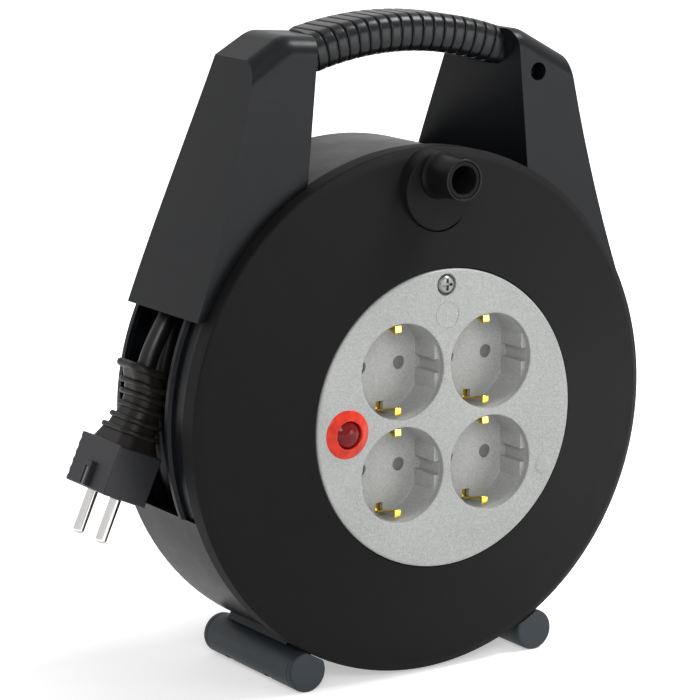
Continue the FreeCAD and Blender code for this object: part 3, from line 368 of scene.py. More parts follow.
def on_plug(piece, across=0.0, up=0.0):
    """Moves a piece made at the world's origin to the plug's top, or off it, with the plug's lean."""
    choose(piece)
    piece.location = at(*(Vector(PLUG_TOP) + Vector((across, 0, up))))
    piece.rotation_euler = (0, math.radians(PLUG_LEAN), 0)
    bpy.ops.object.transform_apply()
    rest()
    return piece


def linked(name, data):
    """A new object in the scene."""
    made = bpy.data.objects.new(name, data)
    bpy.context.scene.collection.objects.link(made)
    return made


def copy_of(piece, name):
    """A second piece with its own mesh."""
    twin = piece.copy()
    twin.data = piece.data.copy()
    twin.name = name
    twin.data.name = name
    bpy.context.scene.collection.objects.link(twin)
    return twin


def moved(piece, x=0.0, y=0.0, z=0.0):
    """Moves a piece by millimetres and applies it."""
    choose(piece)
    piece.location = Vector((x, y, z)) * MM
    bpy.ops.object.transform_apply()
    rest()
    return piece


def swung(piece, angle, centre, axis="Y"):
    """Turns a piece about a line through a centre and applies it."""
    choose(piece)
    turn = Matrix.Rotation(math.radians(angle), 4, axis)
    piece.matrix_world = Matrix.Translation(centre) @ turn @ Matrix.Translation(-centre)
    bpy.ops.object.transform_apply()
    rest()
    return piece


def joined(name, pieces):
    """Joins pieces into the first one."""
    rest()
    for piece in pieces:
        piece.select_set(True)
    bpy.context.view_layer.objects.active = pieces[0]
    bpy.ops.object.join()
    pieces[0].name = name
    rest()
    return pieces[0]


def apply_modifiers(piece):
    """Turns what a piece's modifiers make into its mesh."""
    choose(piece)
    for modifier in list(piece.modifiers):
        bpy.ops.object.modifier_apply(modifier=modifier.name)
    rest()


def combine(piece, tool, operation="DIFFERENCE"):
    """Cuts a piece with a tool, or joins the tool to it, and removes the tool."""
    modifier = piece.modifiers.new("combine", "BOOLEAN")
    modifier.operation = operation
    modifier.solver = "EXACT"
    modifier.object = tool
    apply_modifiers(piece)
    bpy.data.objects.remove(tool)
    return piece


def soften(piece, width, angle=30, segments=2):
    """Rounds every edge sharper than an angle, by a width in millimetres."""
    modifier = piece.modifiers.new("soften", "BEVEL")
    modifier.width = width * MM
    modifier.segments = segments
    modifier.limit_method = "ANGLE"
    modifier.angle_limit = math.radians(angle)
    modifier.use_clamp_overlap = True
    apply_modifiers(piece)
    return piece


def merged_copy(node, name):
    """A copy of a frame node's loose triangles, merged, with its flat regions dissolved."""
    piece = copy_of(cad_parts[node], name)
    piece.parent = None
    for key in list(piece.keys()):
        del piece[key]
    piece.data.materials.clear()
    edit(piece)
    bpy.ops.mesh.customdata_custom_splitnormals_clear()
    bpy.ops.mesh.remove_doubles(threshold=0.003 * MM)
    bpy.ops.mesh.dissolve_limited(angle_limit=math.radians(0.6))
    rest()
    return piece


def settle(piece, body, material, replaces=(), angle=32):
    """Shades a finished piece, gives it a material by name and hands it to the frame."""
    choose(piece)
    bpy.ops.object.shade_smooth_by_angle(angle=math.radians(angle))
    modifier = piece.modifiers.new("even", "WEIGHTED_NORMAL")
    modifier.keep_sharp = True
    apply_modifiers(piece)
    piece.data.materials.clear()
    piece.data.materials.append(MATERIALS[material])
    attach(piece, body)
    if replaces:
        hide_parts(*replaces)
    return piece


# Shader maths

class Value:
    """A node's output socket that takes part in Python expressions."""

    def __init__(self, nodes, socket):
        self.nodes = nodes
        self.socket = socket

    def _math(self, operation, first, second):
        return self.nodes.node("ShaderNodeMath", {"operation": operation}, {0: first, 1: second})

    def __add__(self, other):
        return self._math("ADD", self, other)

    def __radd__(self, other):
        return self._math("ADD", other, self)

    def __sub__(self, other):
        return self._math("SUBTRACT", self, other)

    def __rsub__(self, other):
        return self._math("SUBTRACT", other, self)

    def __mul__(self, other):
        return self._math("MULTIPLY", self, other)

    def between(self, low, high):
        """0 below low, 1 above high and straight between them."""
        return self.nodes.node("ShaderNodeMapRange", {"clamp": True}, {0: self, 1: low, 2: high})


class Nodes:
    """A node tree under construction."""

    def __init__(self, owner):
        owner.use_nodes = True
        self.tree = owner.node_tree

    def node(self, kind, settings=None, inputs=None, output=0):
        """Makes a node: its settings first, then the values or links of its sockets."""
        made = self.tree.nodes.new(kind)
        for key, value in (settings or {}).items():
            setattr(made, key, value)
        for key, value in (inputs or {}).items():
            self.feed(made.inputs[key], value)
        return Value(self, made.outputs[output])

    def feed(self, socket, value):
        """Links a socket to another one, or gives it a value."""
        if isinstance(value, Value):
            self.tree.links.new(value.socket, socket)
        else:
            socket.default_value = value

    def seen(self):
        """1 for what is seen straight, in a reflection or through a piece, and 0 for light it gives."""
        paths = self.tree.nodes.new("ShaderNodeLightPath").outputs
        straight = Value(self, paths["Is Camera Ray"])
        mirrored = Value(self, paths["Is Glossy Ray"])
        through = Value(self, paths["Is Transmission Ray"])
        return (straight + mirrored + through).between(0.0, 1.0)


class Finish(Nodes):
    """A material under construction round one Principled shader."""

    def __init__(self, name):
        self.material = bpy.data.materials.new(name)
        super().__init__(self.material)
        self.shader = self.tree.nodes["Principled BSDF"]

    def set(self, **sockets):
        """Sets or links the shader's sockets by name, with underscores for spaces."""
        for name, value in sockets.items():
            self.feed(self.shader.inputs[name.replace("_", " ")], value)

    def place(self):
        """Object coordinates, in metres."""
        return self.node("ShaderNodeTexCoord", output="Object")

    def stretched(self, scale):
        """Object coordinates scaled along each axis, for a pattern with a direction."""
        return self.node("ShaderNodeMapping", {}, {"Vector": self.place(), "Scale": scale})

    def noise(self, size, detail=2.0, roughness=0.5, where=None):
        """Noise whose lumps are about size millimetres across."""
        return self.node("ShaderNodeTexNoise", {}, {
            "Vector": where or self.place(), "Scale": 1.0 / (size * MM),
            "Detail": detail, "Roughness": roughness})

    def mix(self, share, first, second):
        """Colour between first and second."""
        colours = {0: share, 6: first, 7: second}
        return self.node("ShaderNodeMix", {"data_type": "RGBA"}, colours, output=2)

    def bump(self, height, depth):
        """Normal from a height between 0 and 1 that stands for depth millimetres."""
        return self.node("ShaderNodeBump", {}, {
            "Height": height, "Distance": depth * MM, "Strength": 1.0})


def tint(colour, factor):
    """Colour scaled by a factor, with full alpha."""
    return tuple(min(1.0, channel * factor) for channel in colour[:3]) + (1.0,)


def moulded(name, colour, grain=0.35, depth=0.012, roughness=0.5, shine=0.5, shade=0.15):
    """Moulded plastic: spark-eroded grain, faint clouding and slightly rubbed patches."""
    finish = Finish(name)
    fine = finish.noise(grain, detail=3.0, roughness=0.6)
    cloud = finish.noise(26.0, detail=3.0)
    rubbed = finish.noise(8.0, detail=4.0, roughness=0.65).between(0.5, 0.8)
    tone = (fine * 0.55 + cloud * 0.45).between(0.35, 0.65)
    finish.set(
        Base_Color=finish.mix(tone, tint(colour, 1 - shade), tint(colour, 1 + shade)),
        Roughness=roughness + (cloud - 0.5) * 0.14 - rubbed * 0.06 + (fine - 0.5) * 0.1,
        Normal=finish.bump(fine, depth),
        Specular_IOR_Level=shine,
    )
    return finish.material


def sparkling_grey(name, colour):
    """Silver-grey moulding with fine lighter and darker specks."""
    finish = Finish(name)
    specks = finish.noise(0.45, detail=2.0, roughness=0.7)
    coarse = finish.noise(1.4, detail=3.0, roughness=0.6)
    cloud = finish.noise(35.0, detail=2.0)
    tone = (specks * 0.65 + coarse * 0.2 + cloud * 0.15).between(0.38, 0.62)
    finish.set(
        Base_Color=finish.mix(tone, tint(colour, 0.78), tint(colour, 1.22)),
        Roughness=0.42 + (specks - 0.5) * 0.2 + (cloud - 0.5) * 0.1,
        Normal=finish.bump(specks, 0.006),
    )
    return finish.material


def glossy_red(name, colour, depth, roughness):
    """Smooth red moulding with slow waves in its gloss and faint flow lines in its colour."""
    finish = Finish(name)
    flow = finish.noise(3.0, detail=3.0)
    dust = finish.noise(0.3, detail=2.0).between(0.62, 0.75)
    finish.set(
        Base_Color=finish.mix(flow.between(0.35, 0.65), tint(colour, 0.85), tint(colour, 1.15)),
        Roughness=roughness + (flow - 0.5) * 0.06 + dust * 0.15,
        Normal=finish.bump(flow, depth),
        Coat_Weight=0.06,
        Coat_Roughness=0.06,
        Specular_IOR_Level=0.14,
    )
    return finish.material


def plated(name, colour, roughness, streak=(1.0, 1.0, 1.0), tarnish=0.12, darken=0.55):
    """Metal with drawn streaks, a slight tarnish and small pits."""
    finish = Finish(name)
    streaks = finish.noise(0.25, detail=3.0, where=finish.stretched(streak))
    patches = finish.noise(2.2, detail=4.0, roughness=0.6).between(0.52, 0.75)
    pits = finish.noise(0.12, detail=2.0).between(0.62, 0.72)
    finish.set(
        Base_Color=finish.mix(patches * tarnish + pits * 0.2, tint(colour, 1.0), tint(colour, darken)),
        Metallic=1.0 - pits * 0.2,
        Roughness=roughness + (streaks - 0.5) * 0.1 + patches * 0.12,
        Normal=finish.bump(streaks, 0.002),
    )
    return finish.material


def sheath(name, colour):
    """Satin sheath of a rubber or soft plastic cable with faint scuffs."""
    finish = Finish(name)
    fine = finish.noise(0.5, detail=3.0)
    scuffs = finish.noise(5.0, detail=5.0, roughness=0.7).between(0.52, 0.72)
    finish.set(
        Base_Color=finish.mix(scuffs * 0.6 + (fine - 0.5) * 0.4, tint(colour, 0.9), tint(colour, 1.7)),
        Roughness=0.34 + scuffs * 0.16 + (fine - 0.5) * 0.08,
        Normal=finish.bump(fine, 0.01),
        Specular_IOR_Level=0.3,
    )
    return finish.material


MATERIALS = {}


def finish_materials(colours):
    """Makes every material once."""
    MATERIALS.update(
        disc=moulded("disc black", colours.disc, 0.5, 0.02, 0.62, 0.09),
        knob=moulded("knob black", tint(colours.disc, 0.9), 0.35, 0.006, 0.42, 0.14),
        housing=moulded("housing black", colours.housing, 0.4, 0.01, 0.37, 0.14),
        grip=moulded("grip black", colours.grip, 0.4, 0.01, 0.3, 0.2),
        feet=moulded("foot grey", tint(colours.feet, 0.75), 0.45, 0.015, 0.5, 0.28),
        panel=sparkling_grey("panel grey", colours.panel),
        cup=sparkling_grey("socket grey", colours.cup),
        shutter=sparkling_grey("shutter grey", tint(colours.cup, 0.36)),
        ring=glossy_red("ring red", colours.ring, 0.02, 0.25),
        button=glossy_red("button red", colours.button, 0.01, 0.07),
        inner=moulded("inner black", (0.008, 0.008, 0.008), 0.4, 0.01, 0.55, 0.2),
        brass=plated("stamped brass", (0.82, 0.6, 0.11), 0.17, tarnish=0.4, darken=0.4),
        steel=plated("zinc steel", (0.17, 0.17, 0.165), 0.36, tarnish=0.6),
        # The contact bars are tinned, but their colour is far darker than tin: partly painted shade, the
        # shade deep inside the pin holes.
        contact=plated("tinned contact with painted shade", (0.1, 0.1, 0.098), 0.45, tarnish=0.5),
        black_screw=plated("blackened screw", (0.035, 0.035, 0.036), 0.4, tarnish=0.4),
        pin=plated("pin nickel", (0.62, 0.61, 0.6), 0.12, streak=(1.0, 1.0, 0.08), tarnish=0.06),
        cable=sheath("cable black", colours.cable),
        sleeve=moulded("sleeve black", (0.011, 0.0092, 0.0085), 0.4, 0.01, 0.42, 0.18),
        plug=moulded("plug black", colours.plug, 0.45, 0.012, 0.42, 0.3),
    )


# Pieces

def photo_camera(scene):
    """Camera with the photograph's place, angle and lens."""
    lens = bpy.data.cameras.new("photo camera")
    lens.sensor_width = 36.0
    lens.lens = PHOTO_FOCAL_LENGTH / PHOTO_SIZE * lens.sensor_width
    lens.clip_end = 20.0
    camera = linked("photo camera", lens)
    azimuth = math.radians(CAMERA_AZIMUTH)
    elevation = math.radians(CAMERA_ELEVATION)
    level = math.cos(elevation)
    back = Vector((math.sin(azimuth) * level, -math.cos(azimuth) * level, math.sin(elevation)))
    camera.rotation_euler = (-back).to_track_quat("-Z", "Y").to_euler()
    camera.location = at(*CAMERA_PLACE)
    scene.camera = camera


def cable(name, route, diameter):
    """A round cable along one smooth open spline whose control points are the route's."""
    curve = bpy.data.curves.new(name, "CURVE")
    curve.dimensions = "3D"
    spline = curve.splines.new("NURBS")
    spline.points.add(len(route) - 1)
    for point, place in zip(spline.points, route):
        point.co = (*place, 1.0)
    spline.order_u = 3
    spline.use_endpoint_u = True
    spline.resolution_u = 4
    curve.bevel_depth = diameter / 2
    curve.bevel_resolution = 5
    curve.use_fill_caps = True
    curve.materials.append(MATERIALS["cable"])
    return linked(name, curve)


def coil_route():
    """Three layers of turns on the drum and a begun fourth, from the gland to the lead."""
    front, back = COIL_DEPTHS
    turns = []
    for layer, radius in enumerate(FULL_LAYERS):
        for index in range(TURNS_PER_LAYER):
            step = CABLE_PITCH * index
            turns.append((radius, back - step if layer % 2 else front + step))
    turns += [(TOP_LAYER, back), (TOP_LAYER, back - CABLE_PITCH)]
    swell = 1 / math.cos(math.pi / TURN_POINTS)
    route = [at(0, 34.5, -CORE_RADIUS), at(5.0, 34.1, -68.2)]
    last_angle = COIL_END_ANGLE - COIL_START_ANGLE
    for count, (radius, depth) in enumerate(turns):
        following = turns[min(count + 1, len(turns) - 1)]
        for step in range(TURN_POINTS):
            angle = 360.0 * step / TURN_POINTS
            if count == 0 and step < 1:
                continue
            if count == len(turns) - 1 and angle > last_angle:
                break
            over = max(0.0, (angle - CLIMB_FROM) / (360.0 - CLIMB_FROM))
            over = over * over * (3 - 2 * over)
            here_radius = (radius + (following[0] - radius) * over) * swell
            here_depth = depth + (following[1] - depth) * over
            if count == 0:
                rise = min(1.0, step / 3)
                here_radius = (COIL_START_RADIUS + (radius - COIL_START_RADIUS) * rise) * swell
            turned = math.radians(COIL_START_ANGLE + angle)
            route.append(at(here_radius * math.cos(turned), here_depth, here_radius * math.sin(turned)))
    return route


def wound_cable(context):
    """The cable on the drum."""
    diameter = context.scene.reel_sizes.cable_diameter
    route = coil_route()
    coil = cable("wound_cable", route, diameter)
    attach(coil, "drum")
    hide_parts("cable_coil")
    tuple(route[0])


def lead(context, plug_pieces):
    """The free stretch of the cable, down to the plug; the plug's pieces that it is given are not used.
    """
    diameter = context.scene.reel_sizes.cable_diameter
    route = [at(*place) for place in LEAD_ROUTE]
    piece = cable("lead", route, diameter)
    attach(piece, "housing")
    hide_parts("cable_lead")


def plug_body():
    """Flat body with softened edges, a scalloped grip on its far side and two grooved contact ribs."""
    half_x, half_y, length = PLUG_HALF_THICKNESS, PLUG_HALF_WIDTH, PLUG_LENGTH
    body = box_between("plug_shell", (-half_x, -half_y, -length), (half_x, half_y, 0), NOWHERE)
    soften(body, 0.7, segments=3)
    pitch = length / 5.6
    for index in range(5):
        centre = Vector((0, half_y + 1.1, -pitch * (index + 0.8))) * MM
        reach = Vector((half_x + 3, 0, 0)) * MM
        combine(body, rod("scallop", centre - reach, centre + reach, 2.1, 40))
    for side in (-1, 1):
        low, high = on_side(side, half_x - 1, half_x + 1.9)
        rib = box_between("rib", (low, -2.5, -length + 0.7), (high, 2.5, -length + 10.9), NOWHERE)
        soften(rib, 0.35)
        combine(body, rib, "UNION")
        low, high = on_side(side, half_x + 0.9, half_x + 2.9)
        slot = box_between("slot", (low, -1.3, -length - 0.5), (high, 1.3, -length + 8.5), NOWHERE)
        combine(body, slot)
    on_plug(body)
    return settle(body, "housing", "plug", ("plug_body",))


def ring_plate(name, half_x, half_y, thickness, rounding):
    """Flat plate with round corners and a softened rim, made lying round the origin."""
    plate = box_between(
        name, (-half_x, -half_y, -thickness / 2), (half_x, half_y, thickness / 2), NOWHERE)
    edit(plate)
    pick(plate, "EDGE", lambda start, end: abs(start.z - end.z) > thickness * MM / 2)
    bpy.ops.mesh.bevel(offset=6.0 * MM, segments=10, affect="EDGES")
    tidy_mesh()
    rest()
    return soften(plate, rounding, angle=50, segments=3) if rounding else plate


def plug_sleeve():
    """Flexible strain relief: a waisted neck with five rings and a collar, flared over the plug."""
    sections = [SLEEVE_FOOT]
    sections += [(across, up, half_x - 1.5, half_y - 1.5) for across, up, half_x, half_y in SLEEVE_RINGS]
    pieces = [neck_between(low, high) for low, high in zip(sections, sections[1:])]
    for across, up, half_x, half_y in SLEEVE_RINGS:
        thickness = 3.4 if up == SLEEVE_RINGS[-1][1] else 2.3
        ring = ring_plate("ring", half_x, half_y, thickness, thickness / 2 - 0.15)
        pieces.append(on_plug(ring, across, up))
    sleeve = joined("ribbed_sleeve", pieces)
    return settle(sleeve, "housing", "sleeve", ("plug_sleeve",), angle=50)


def neck_between(low, high):
    """Stretch of the neck: a plate whose upper face is scaled and moved to the next outline."""
    neck = ring_plate("neck", low[2], low[3], 1.0, 0)
    edit(neck)
    pick(neck, "VERT", lambda place: place.z > 0)
    bpy.ops.transform.resize(
        value=(high[2] / low[2], high[3] / low[3], 1), center_override=(0, 0, 0.5 * MM))
    lean = Matrix.Rotation(math.radians(PLUG_LEAN), 3, "Y")
    step = Vector((high[0] - low[0], 0, high[1] - low[1])) * MM
    bpy.ops.transform.translate(value=lean.transposed() @ step)
    rest()
    return on_plug(neck, low[0], low[1])


def plug_pins():
    """Two round pins with domed tips, slimmer where they enter the body."""
    pins = []
    tip = -PLUG_LENGTH - PLUG_PIN_LENGTH
    for name, side in (("front", -1), ("rear", 1)):
        pin = turn_upright("round_pin_" + name, [
            (0, tip), (2.4, tip, 1.6), (2.4, -21.1, 0.1), (2.0, -20.9), (2.0, -13.0), (0, -13.0)], 40)
        moved(pin, y=side * PIN_OFFSET)
        on_plug(pin)
        pins.append(settle(pin, "housing", "pin", ("plug_pin_" + name,)))
    return pins


def plug_contacts():
    """Two sprung metal strips in the grooves of the plug's ribs."""
    strips = []
    for side in (-1, 1):
        low, high = on_side(side, 11.15, 11.75)
        strip = box_between("strip", (low, -1.2, -20.4), (high, 1.2, -12.4), NOWHERE)
        soften(strip, 0.25, segments=3)
        strips.append(strip)
    strips = joined("contact_strips", strips)
    on_plug(strips)
    return settle(strips, "housing", "steel", ("plug_earth_contacts",))


def front_disc(steps):
    """Conical disc with a turned-down rim, the sunk line round the knob's pad, and the knob's stub."""
    disc = lathe("disc_shell", [
        (62.0, 0.8, 0.3),
        (106.0, 13.5, 0.9),
        (109.5, 15.7, 0.9),
        (109.5, 24.5, 0.5),
        (107.1, 24.5, 0.3),
        (107.1, 17.1),
        (105.3, 15.8),
        (66.9, 4.8),
        (66.9, 26.5),
        (64.5, 26.5),
        (64.5, 4.9),
        (57.6, 4.9),
        (57.6, 2.4),
        (62.0, 2.4),
    ], steps=steps)
    pad = lathe("pad", [(0, 5.2), (PAD_RADIUS, 5.2, 0.5), (PAD_RADIUS, 15.7), (0, 15.7)], PAD, 96)
    combine(disc, pad, "UNION")
    line_round_pad = lathe("line", [
        (PAD_RADIUS, 2.0), (PAD_RADIUS + 0.7, 2.0), (PAD_RADIUS + 0.7, 7.4), (PAD_RADIUS, 7.4)], PAD, 96)
    combine(disc, line_round_pad)
    stub = lathe("stub", [
        (5.9, -11.8, 0.3),
        (7.5, -11.8, 0.35),
        (7.5, -11.0),
        (7.0, -10.4),
        (7.0, 5.7),
        (5.9, 5.7),
    ], KNOB, 72)
    combine(disc, stub, "UNION")
    return settle(disc, "drum", "disc", ("front_disc",), angle=24)


def winding_knob():
    """Sleeve with a rounded mouth and a flared foot that turns on the stub."""
    knob = lathe("knob_sleeve", [
        (7.65, -12.0, 0.25),
        (8.45, -12.0, 0.35),
        (8.55, -1.1, 2.0),
        (8.95, 2.3, 0.8),
        (9.75, 4.0, 0.4),
        (9.75, 4.9, 0.2),
        (7.06, 4.9),
        (7.06, -10.2),
        (7.65, -10.5),
    ], KNOB, 96)
    return settle(knob, "knob", "knob", ("winding_knob",))


def socket_panel(steps):
    """Round panel with four bevelled socket mouths, the cut-out's hole and small sunk marks."""
    panel = lathe("panel_face", [(0, 0), (61.6, 0, 1.0), (61.6, 2.4), (0, 2.4)], steps=steps)
    radius = RECESS_RADIUS
    mouth = [
        (0, -1), (radius + 0.5, -1), (radius + 0.5, 0.02), (radius + 0.15, 0.15), (radius, 0.5),
        (radius, 4), (0, 4)]
    screw_seat = [
        (0, -1), (4.7, -1), (4.7, 0.02), (4.5, 0.25), (4.5, 1.6), (1.9, 1.6), (1.9, 4), (0, 4)]
    cuts = [("mouth", mouth, middle, 128) for middle in SOCKET_MIDDLES.values()]
    cuts += [
        ("hole", [(0, -1), (8.2, -1), (8.2, 4), (0, 4)], CUTOUT, 64),
        ("seat", screw_seat, PANEL_SCREW, 48),
        ("mark", [(5.25, -1), (5.75, -1), (5.75, 0.12), (5.25, 0.12)], PANEL_RING_MARK, 64),
        ("mark", [(0, -1), (4.25, -1), (4.25, 0.08), (0, 0.08)], PANEL_DISC_MARK, 48),
        ("hole", [(0, -1), (3.2, -1), (3.2, 4), (0, 4)], PANEL_BLANK, 48),
    ]
    for cut in cuts:
        combine(panel, lathe(*cut))
    return settle(panel, "drum", "panel", ("socket_panel",), angle=24)


def socket_cup():
    """Recess made once round the drum's axis: floor, pin holes, flat side walls and clip slots."""
    cup = lathe("cup", [
        (0, RECESS_DEPTH), (RECESS_RADIUS, RECESS_DEPTH, 0.3), (RECESS_RADIUS, 2.42), (20.9, 2.42),
        (20.9, CUP_BACK), (0, CUP_BACK)])
    flats = lathe("flats", [(0, 3.0), (19.9, 3.0), (19.9, 17.6), (0, 17.6)])
    half_gap = FLAT_GAP / 2
    combine(flats, box_between("between", (-FLAT_REACH, 2.0, -22.0), (FLAT_REACH, 19.0, 22.0)))
    combine(flats, box_between("gap", (-22.0, 2.0, -half_gap), (22.0, 19.0, half_gap)))
    soften(flats, 0.25, angle=40)
    combine(cup, flats, "UNION")
    hole = [
        (0, 16), (3.0, 16), (3.0, 17.52), (PIN_HOLE_RADIUS, 17.75), (PIN_HOLE_RADIUS, 21), (0, 21)]
    half_slot = CLIP_SLOT_WIDTH / 2
    for side in (-1, 1):
        combine(cup, lathe("pin hole", hole, (side * PIN_OFFSET, 0), 40))
        low, high = on_side(side, 15.0, 19.4)
        combine(cup, box_between("slot", (-half_slot, 16.5, low), (half_slot, 21, high)))
    return cup


def pin_shutters():
    """Two small discs made once, that close the pin holes from behind."""
    shutters = [
        lathe("shutter", [(0, 18.5), (2.7, 18.5, 0.1), (2.7, 19.4), (0, 19.4)], (x, 0), 40)
        for x in (-PIN_OFFSET, PIN_OFFSET)]
    return joined("shutters", shutters)


def earth_clip():
    """Brass strap made once: two sprung tongues that lean inwards and turn out at the tip."""
    outline = [
        (18.2, 20.0), (18.2, 17.5), (15.2, 4.7), (15.3, 3.8), (15.9, 3.4), (18.5, 3.7), (18.6, 4.5),
        (16.3, 4.6), (19.0, 17.2), (19.0, 20.0)]
    tongues = []
    for side in (-1, 1):
        places = [at(-CLIP_WIDTH / 2, depth, side * height) for height, depth in outline]
        tongue = draw("tongue", [(place, 0.0) for place in places], True)
        bpy.ops.mesh.edge_face_add()
        bpy.ops.mesh.extrude_region_move(TRANSFORM_OT_translate={"value": (CLIP_WIDTH * MM, 0, 0)})
        tidy_mesh()
        rest()
        tongues.append(tongue)
    strap = box_between(
        "strap", (-CLIP_WIDTH / 2, CUP_BACK, -19.0), (CLIP_WIDTH / 2, CUP_BACK + 0.8, 19.0))
    strap = joined("clip", [strap, *tongues])
    return soften(strap, 0.18, angle=35, segments=3)


def sockets():
    """The four recesses with their clips and shutters, copied from one."""
    cup = socket_cup()
    clip = earth_clip()
    shutters = pin_shutters()
    for name, (x, z) in SOCKET_MIDDLES.items():
        recess = moved(copy_of(cup, "recess_" + name), x=x, z=z)
        settle(recess, "drum", "cup", ("socket_cup_" + name,))
        contact = moved(copy_of(clip, "clip_" + name), x=x, z=z)
        settle(contact, "drum", "brass", ("earth_clip_" + name,))
        closed = moved(copy_of(shutters, "shutters_" + name), x=x, z=z)
        settle(closed, "drum", "shutter")
    for pattern in (shutters, cup, clip):
        bpy.data.objects.remove(pattern)


def cutout():
    """Red ring that rises as a low cone to the glossy domed button in it."""
    ring = lathe("cutout_surround", [
        (5.75, -1.7, 0.1),
        (6.15, -2.0, 0.15),
        (9.6, -0.35, 0.3),
        (10.0, 0.0),
        (8.05, 0.0),
        (8.05, 8.0),
        (6.7, 8.0),
        (6.7, 3.1),
        (5.75, 3.1),
    ], CUTOUT, 96)
    settle(ring, "drum", "ring", ("cutout_ring",))
    dome = [(0, DOME_FRONT)]
    for step in range(1, 9):
        angle = math.asin(BUTTON_RADIUS / DOME_RADIUS) * step / 8
        dome.append((DOME_RADIUS * math.sin(angle), DOME_FRONT + DOME_RADIUS * (1 - math.cos(angle))))
    shoulder_and_stem = [
        (BUTTON_RADIUS, 3.4), (6.4, 3.4), (6.4, 4.4), (4.3, 4.4), (4.3, 1.6), (1.8, 1.6), (1.8, 10.4),
        (0, 10.4)]
    button = lathe("reset_dome", dome + shoulder_and_stem, CUTOUT, 72)
    settle(button, "button", "button", ("reset_button",))


def small_front_parts():
    """The panel's cross-head screw, and the blank in the panel."""
    screw = merged_copy("panel_screw", "panel_screw_head")
    soften(screw, 0.18, angle=28)
    settle(screw, "drum", "steel", ("panel_screw",))
    blank = lathe("panel_blank", [
        (0, -0.5), (3.3, -0.45, 0.3), (4.0, 0.0), (3.15, 0.0), (3.15, 2.4), (0, 2.4)], PANEL_BLANK, 48)
    settle(blank, "drum", "panel", ("snap_plug",))


def housing(edge):
    """Housing frame and rear cover from the frame's own solids, with their moulded edges rounded."""
    for node, name in (("housing_frame", "housing_box"), ("rear_cover", "housing_back")):
        piece = merged_copy(node, name)
        soften(piece, edge / MM, angle=28)
        settle(piece, "housing", "housing", (node,), angle=30)


def handle_section(name, width, height, corner):
    """Closed rounded rectangle across the top of the handle's arc, left in edit mode."""
    low = HANDLE_CENTRE_HEIGHT + HANDLE_RADIUS - height / 2
    near = HANDLE_DEPTH - width / 2
    places = [(near, low), (near + width, low), (near + width, low + height), (near, low + height)]
    return draw(name, [(at(0, y, z), corner) for y, z in places], True)


def pylon_side(side):
    """Slab whose inner face is the leaning, drafted inner face of one pylon."""
    face, draft = PYLON_INNER[side]
    low, high = on_side(side, face, face + 60)
    slab = box_between("pylon side", (low, -20, 50), (high, 120, 200))
    pivot = at(side * face, PYLON_FRONT, PYLON_INNER_HEIGHT)
    swung(slab, -side * PYLON_INNER_LEAN, pivot)
    return swung(slab, side * draft, pivot, "Z")


def handle_grip(rings, height):
    """Ridged soft sleeve: one rounded ridge copied along the arc over a plain sleeve."""
    centre = at(0, HANDLE_DEPTH, HANDLE_CENTRE_HEIGHT)
    ring_angle = math.radians(RING_PITCH - RING_GAP)
    ridge = handle_section("ridge", GRIP_WIDTH, height, 6.0)
    bpy.ops.mesh.spin(steps=1, angle=ring_angle, center=centre, axis=BACKWARD)
    bpy.ops.mesh.select_mode(type="EDGE")
    bpy.ops.mesh.select_all(action="SELECT")
    bpy.ops.mesh.region_to_loop()
    bpy.ops.mesh.edge_face_add()
    tidy_mesh()
    rest()
    soften(ridge, 0.75, angle=50, segments=3)
    swung(ridge, -math.degrees(ring_angle) / 2, centre)
    ridges = []
    for index in range(rings):
        ridges.append(swung(copy_of(ridge, "ridge"), (index - (rings - 1) / 2) * RING_PITCH, centre))
    bpy.data.objects.remove(ridge)
    sleeve = handle_section("sleeve", GRIP_WIDTH - 2 * GRIP_GROOVE, height - 2 * GRIP_GROOVE, 5.2)
    reach = rings * RING_PITCH / 2
    bpy.ops.mesh.spin(steps=40, angle=math.radians(2 * reach), center=centre, axis=BACKWARD)
    tidy_mesh()
    rest()
    swung(sleeve, reach, centre)
    for side, end_ridges in ((1, ridges[-RINGS_AT_PYLON:]), (-1, ridges[:RINGS_AT_PYLON])):
        for piece in (sleeve, *end_ridges):
            combine(piece, pylon_side(side))
    shown = []
    for piece in ridges:
        if piece.data.polygons:
            shown.append(piece)
        else:
            bpy.data.objects.remove(piece)
    grip = joined("ribbed_grip", [sleeve, *shown])
    return settle(grip, "housing", "grip", ("handle_grip",), angle=40)


def rim_clearance():
    """Cylinder of the space that the disc's rim turns in."""
    return rod("rim", at(0, 0, 0), at(0, RIM_CLEARANCE_DEPTH, 0), RIM_CLEARANCE_RADIUS, 160)


def feet():
    """Two round feet with end caps, scooped where the disc's rim passes, and holes for their screws."""
    for name, side in (("left", -1), ("right", 1)):
        x = side * FOOT_X
        outward = Vector((x, 0, FOOT_Z)).normalized()
        foot = lathe("round_foot_" + name, [
            (0, 18.7), (FOOT_RADIUS, 18.7, 0.2), (FOOT_RADIUS, 82.8, 0.2), (0, 82.8)], (x, FOOT_Z), 72)
        combine(foot, rim_clearance())
        for depth in FOOT_SCREW_DEPTHS:
            start = at(*(outward * 120.0 + Vector((0, depth, 0))))
            end = at(*(outward * 130.0 + Vector((0, depth, 0))))
            combine(foot, rod("screw hole", start, end, 3.4, 32))
        settle(foot, "housing", "feet", ("foot_" + name,))
    caps = []
    front_profile = [
        (0, 15.5), (FOOT_RADIUS, 15.5, 1.2), (FOOT_RADIUS, 18.45, 0.2), (7.0, 18.45), (7.0, 18.7),
        (0, 18.7)]
    back_profile = [
        (0, 82.8), (7.0, 82.8), (7.0, 83.05), (FOOT_RADIUS, 83.05, 0.2), (FOOT_RADIUS, 86.0, 1.2),
        (0, 86.0)]
    for side in (-1, 1):
        middle = (side * FOOT_X, FOOT_Z)
        caps.append(combine(lathe("cap", front_profile, middle, 72), rim_clearance()))
        caps.append(lathe("cap", back_profile, middle, 72))
    caps = joined("foot_end_caps", caps)
    settle(caps, "housing", "feet", ("foot_caps",))


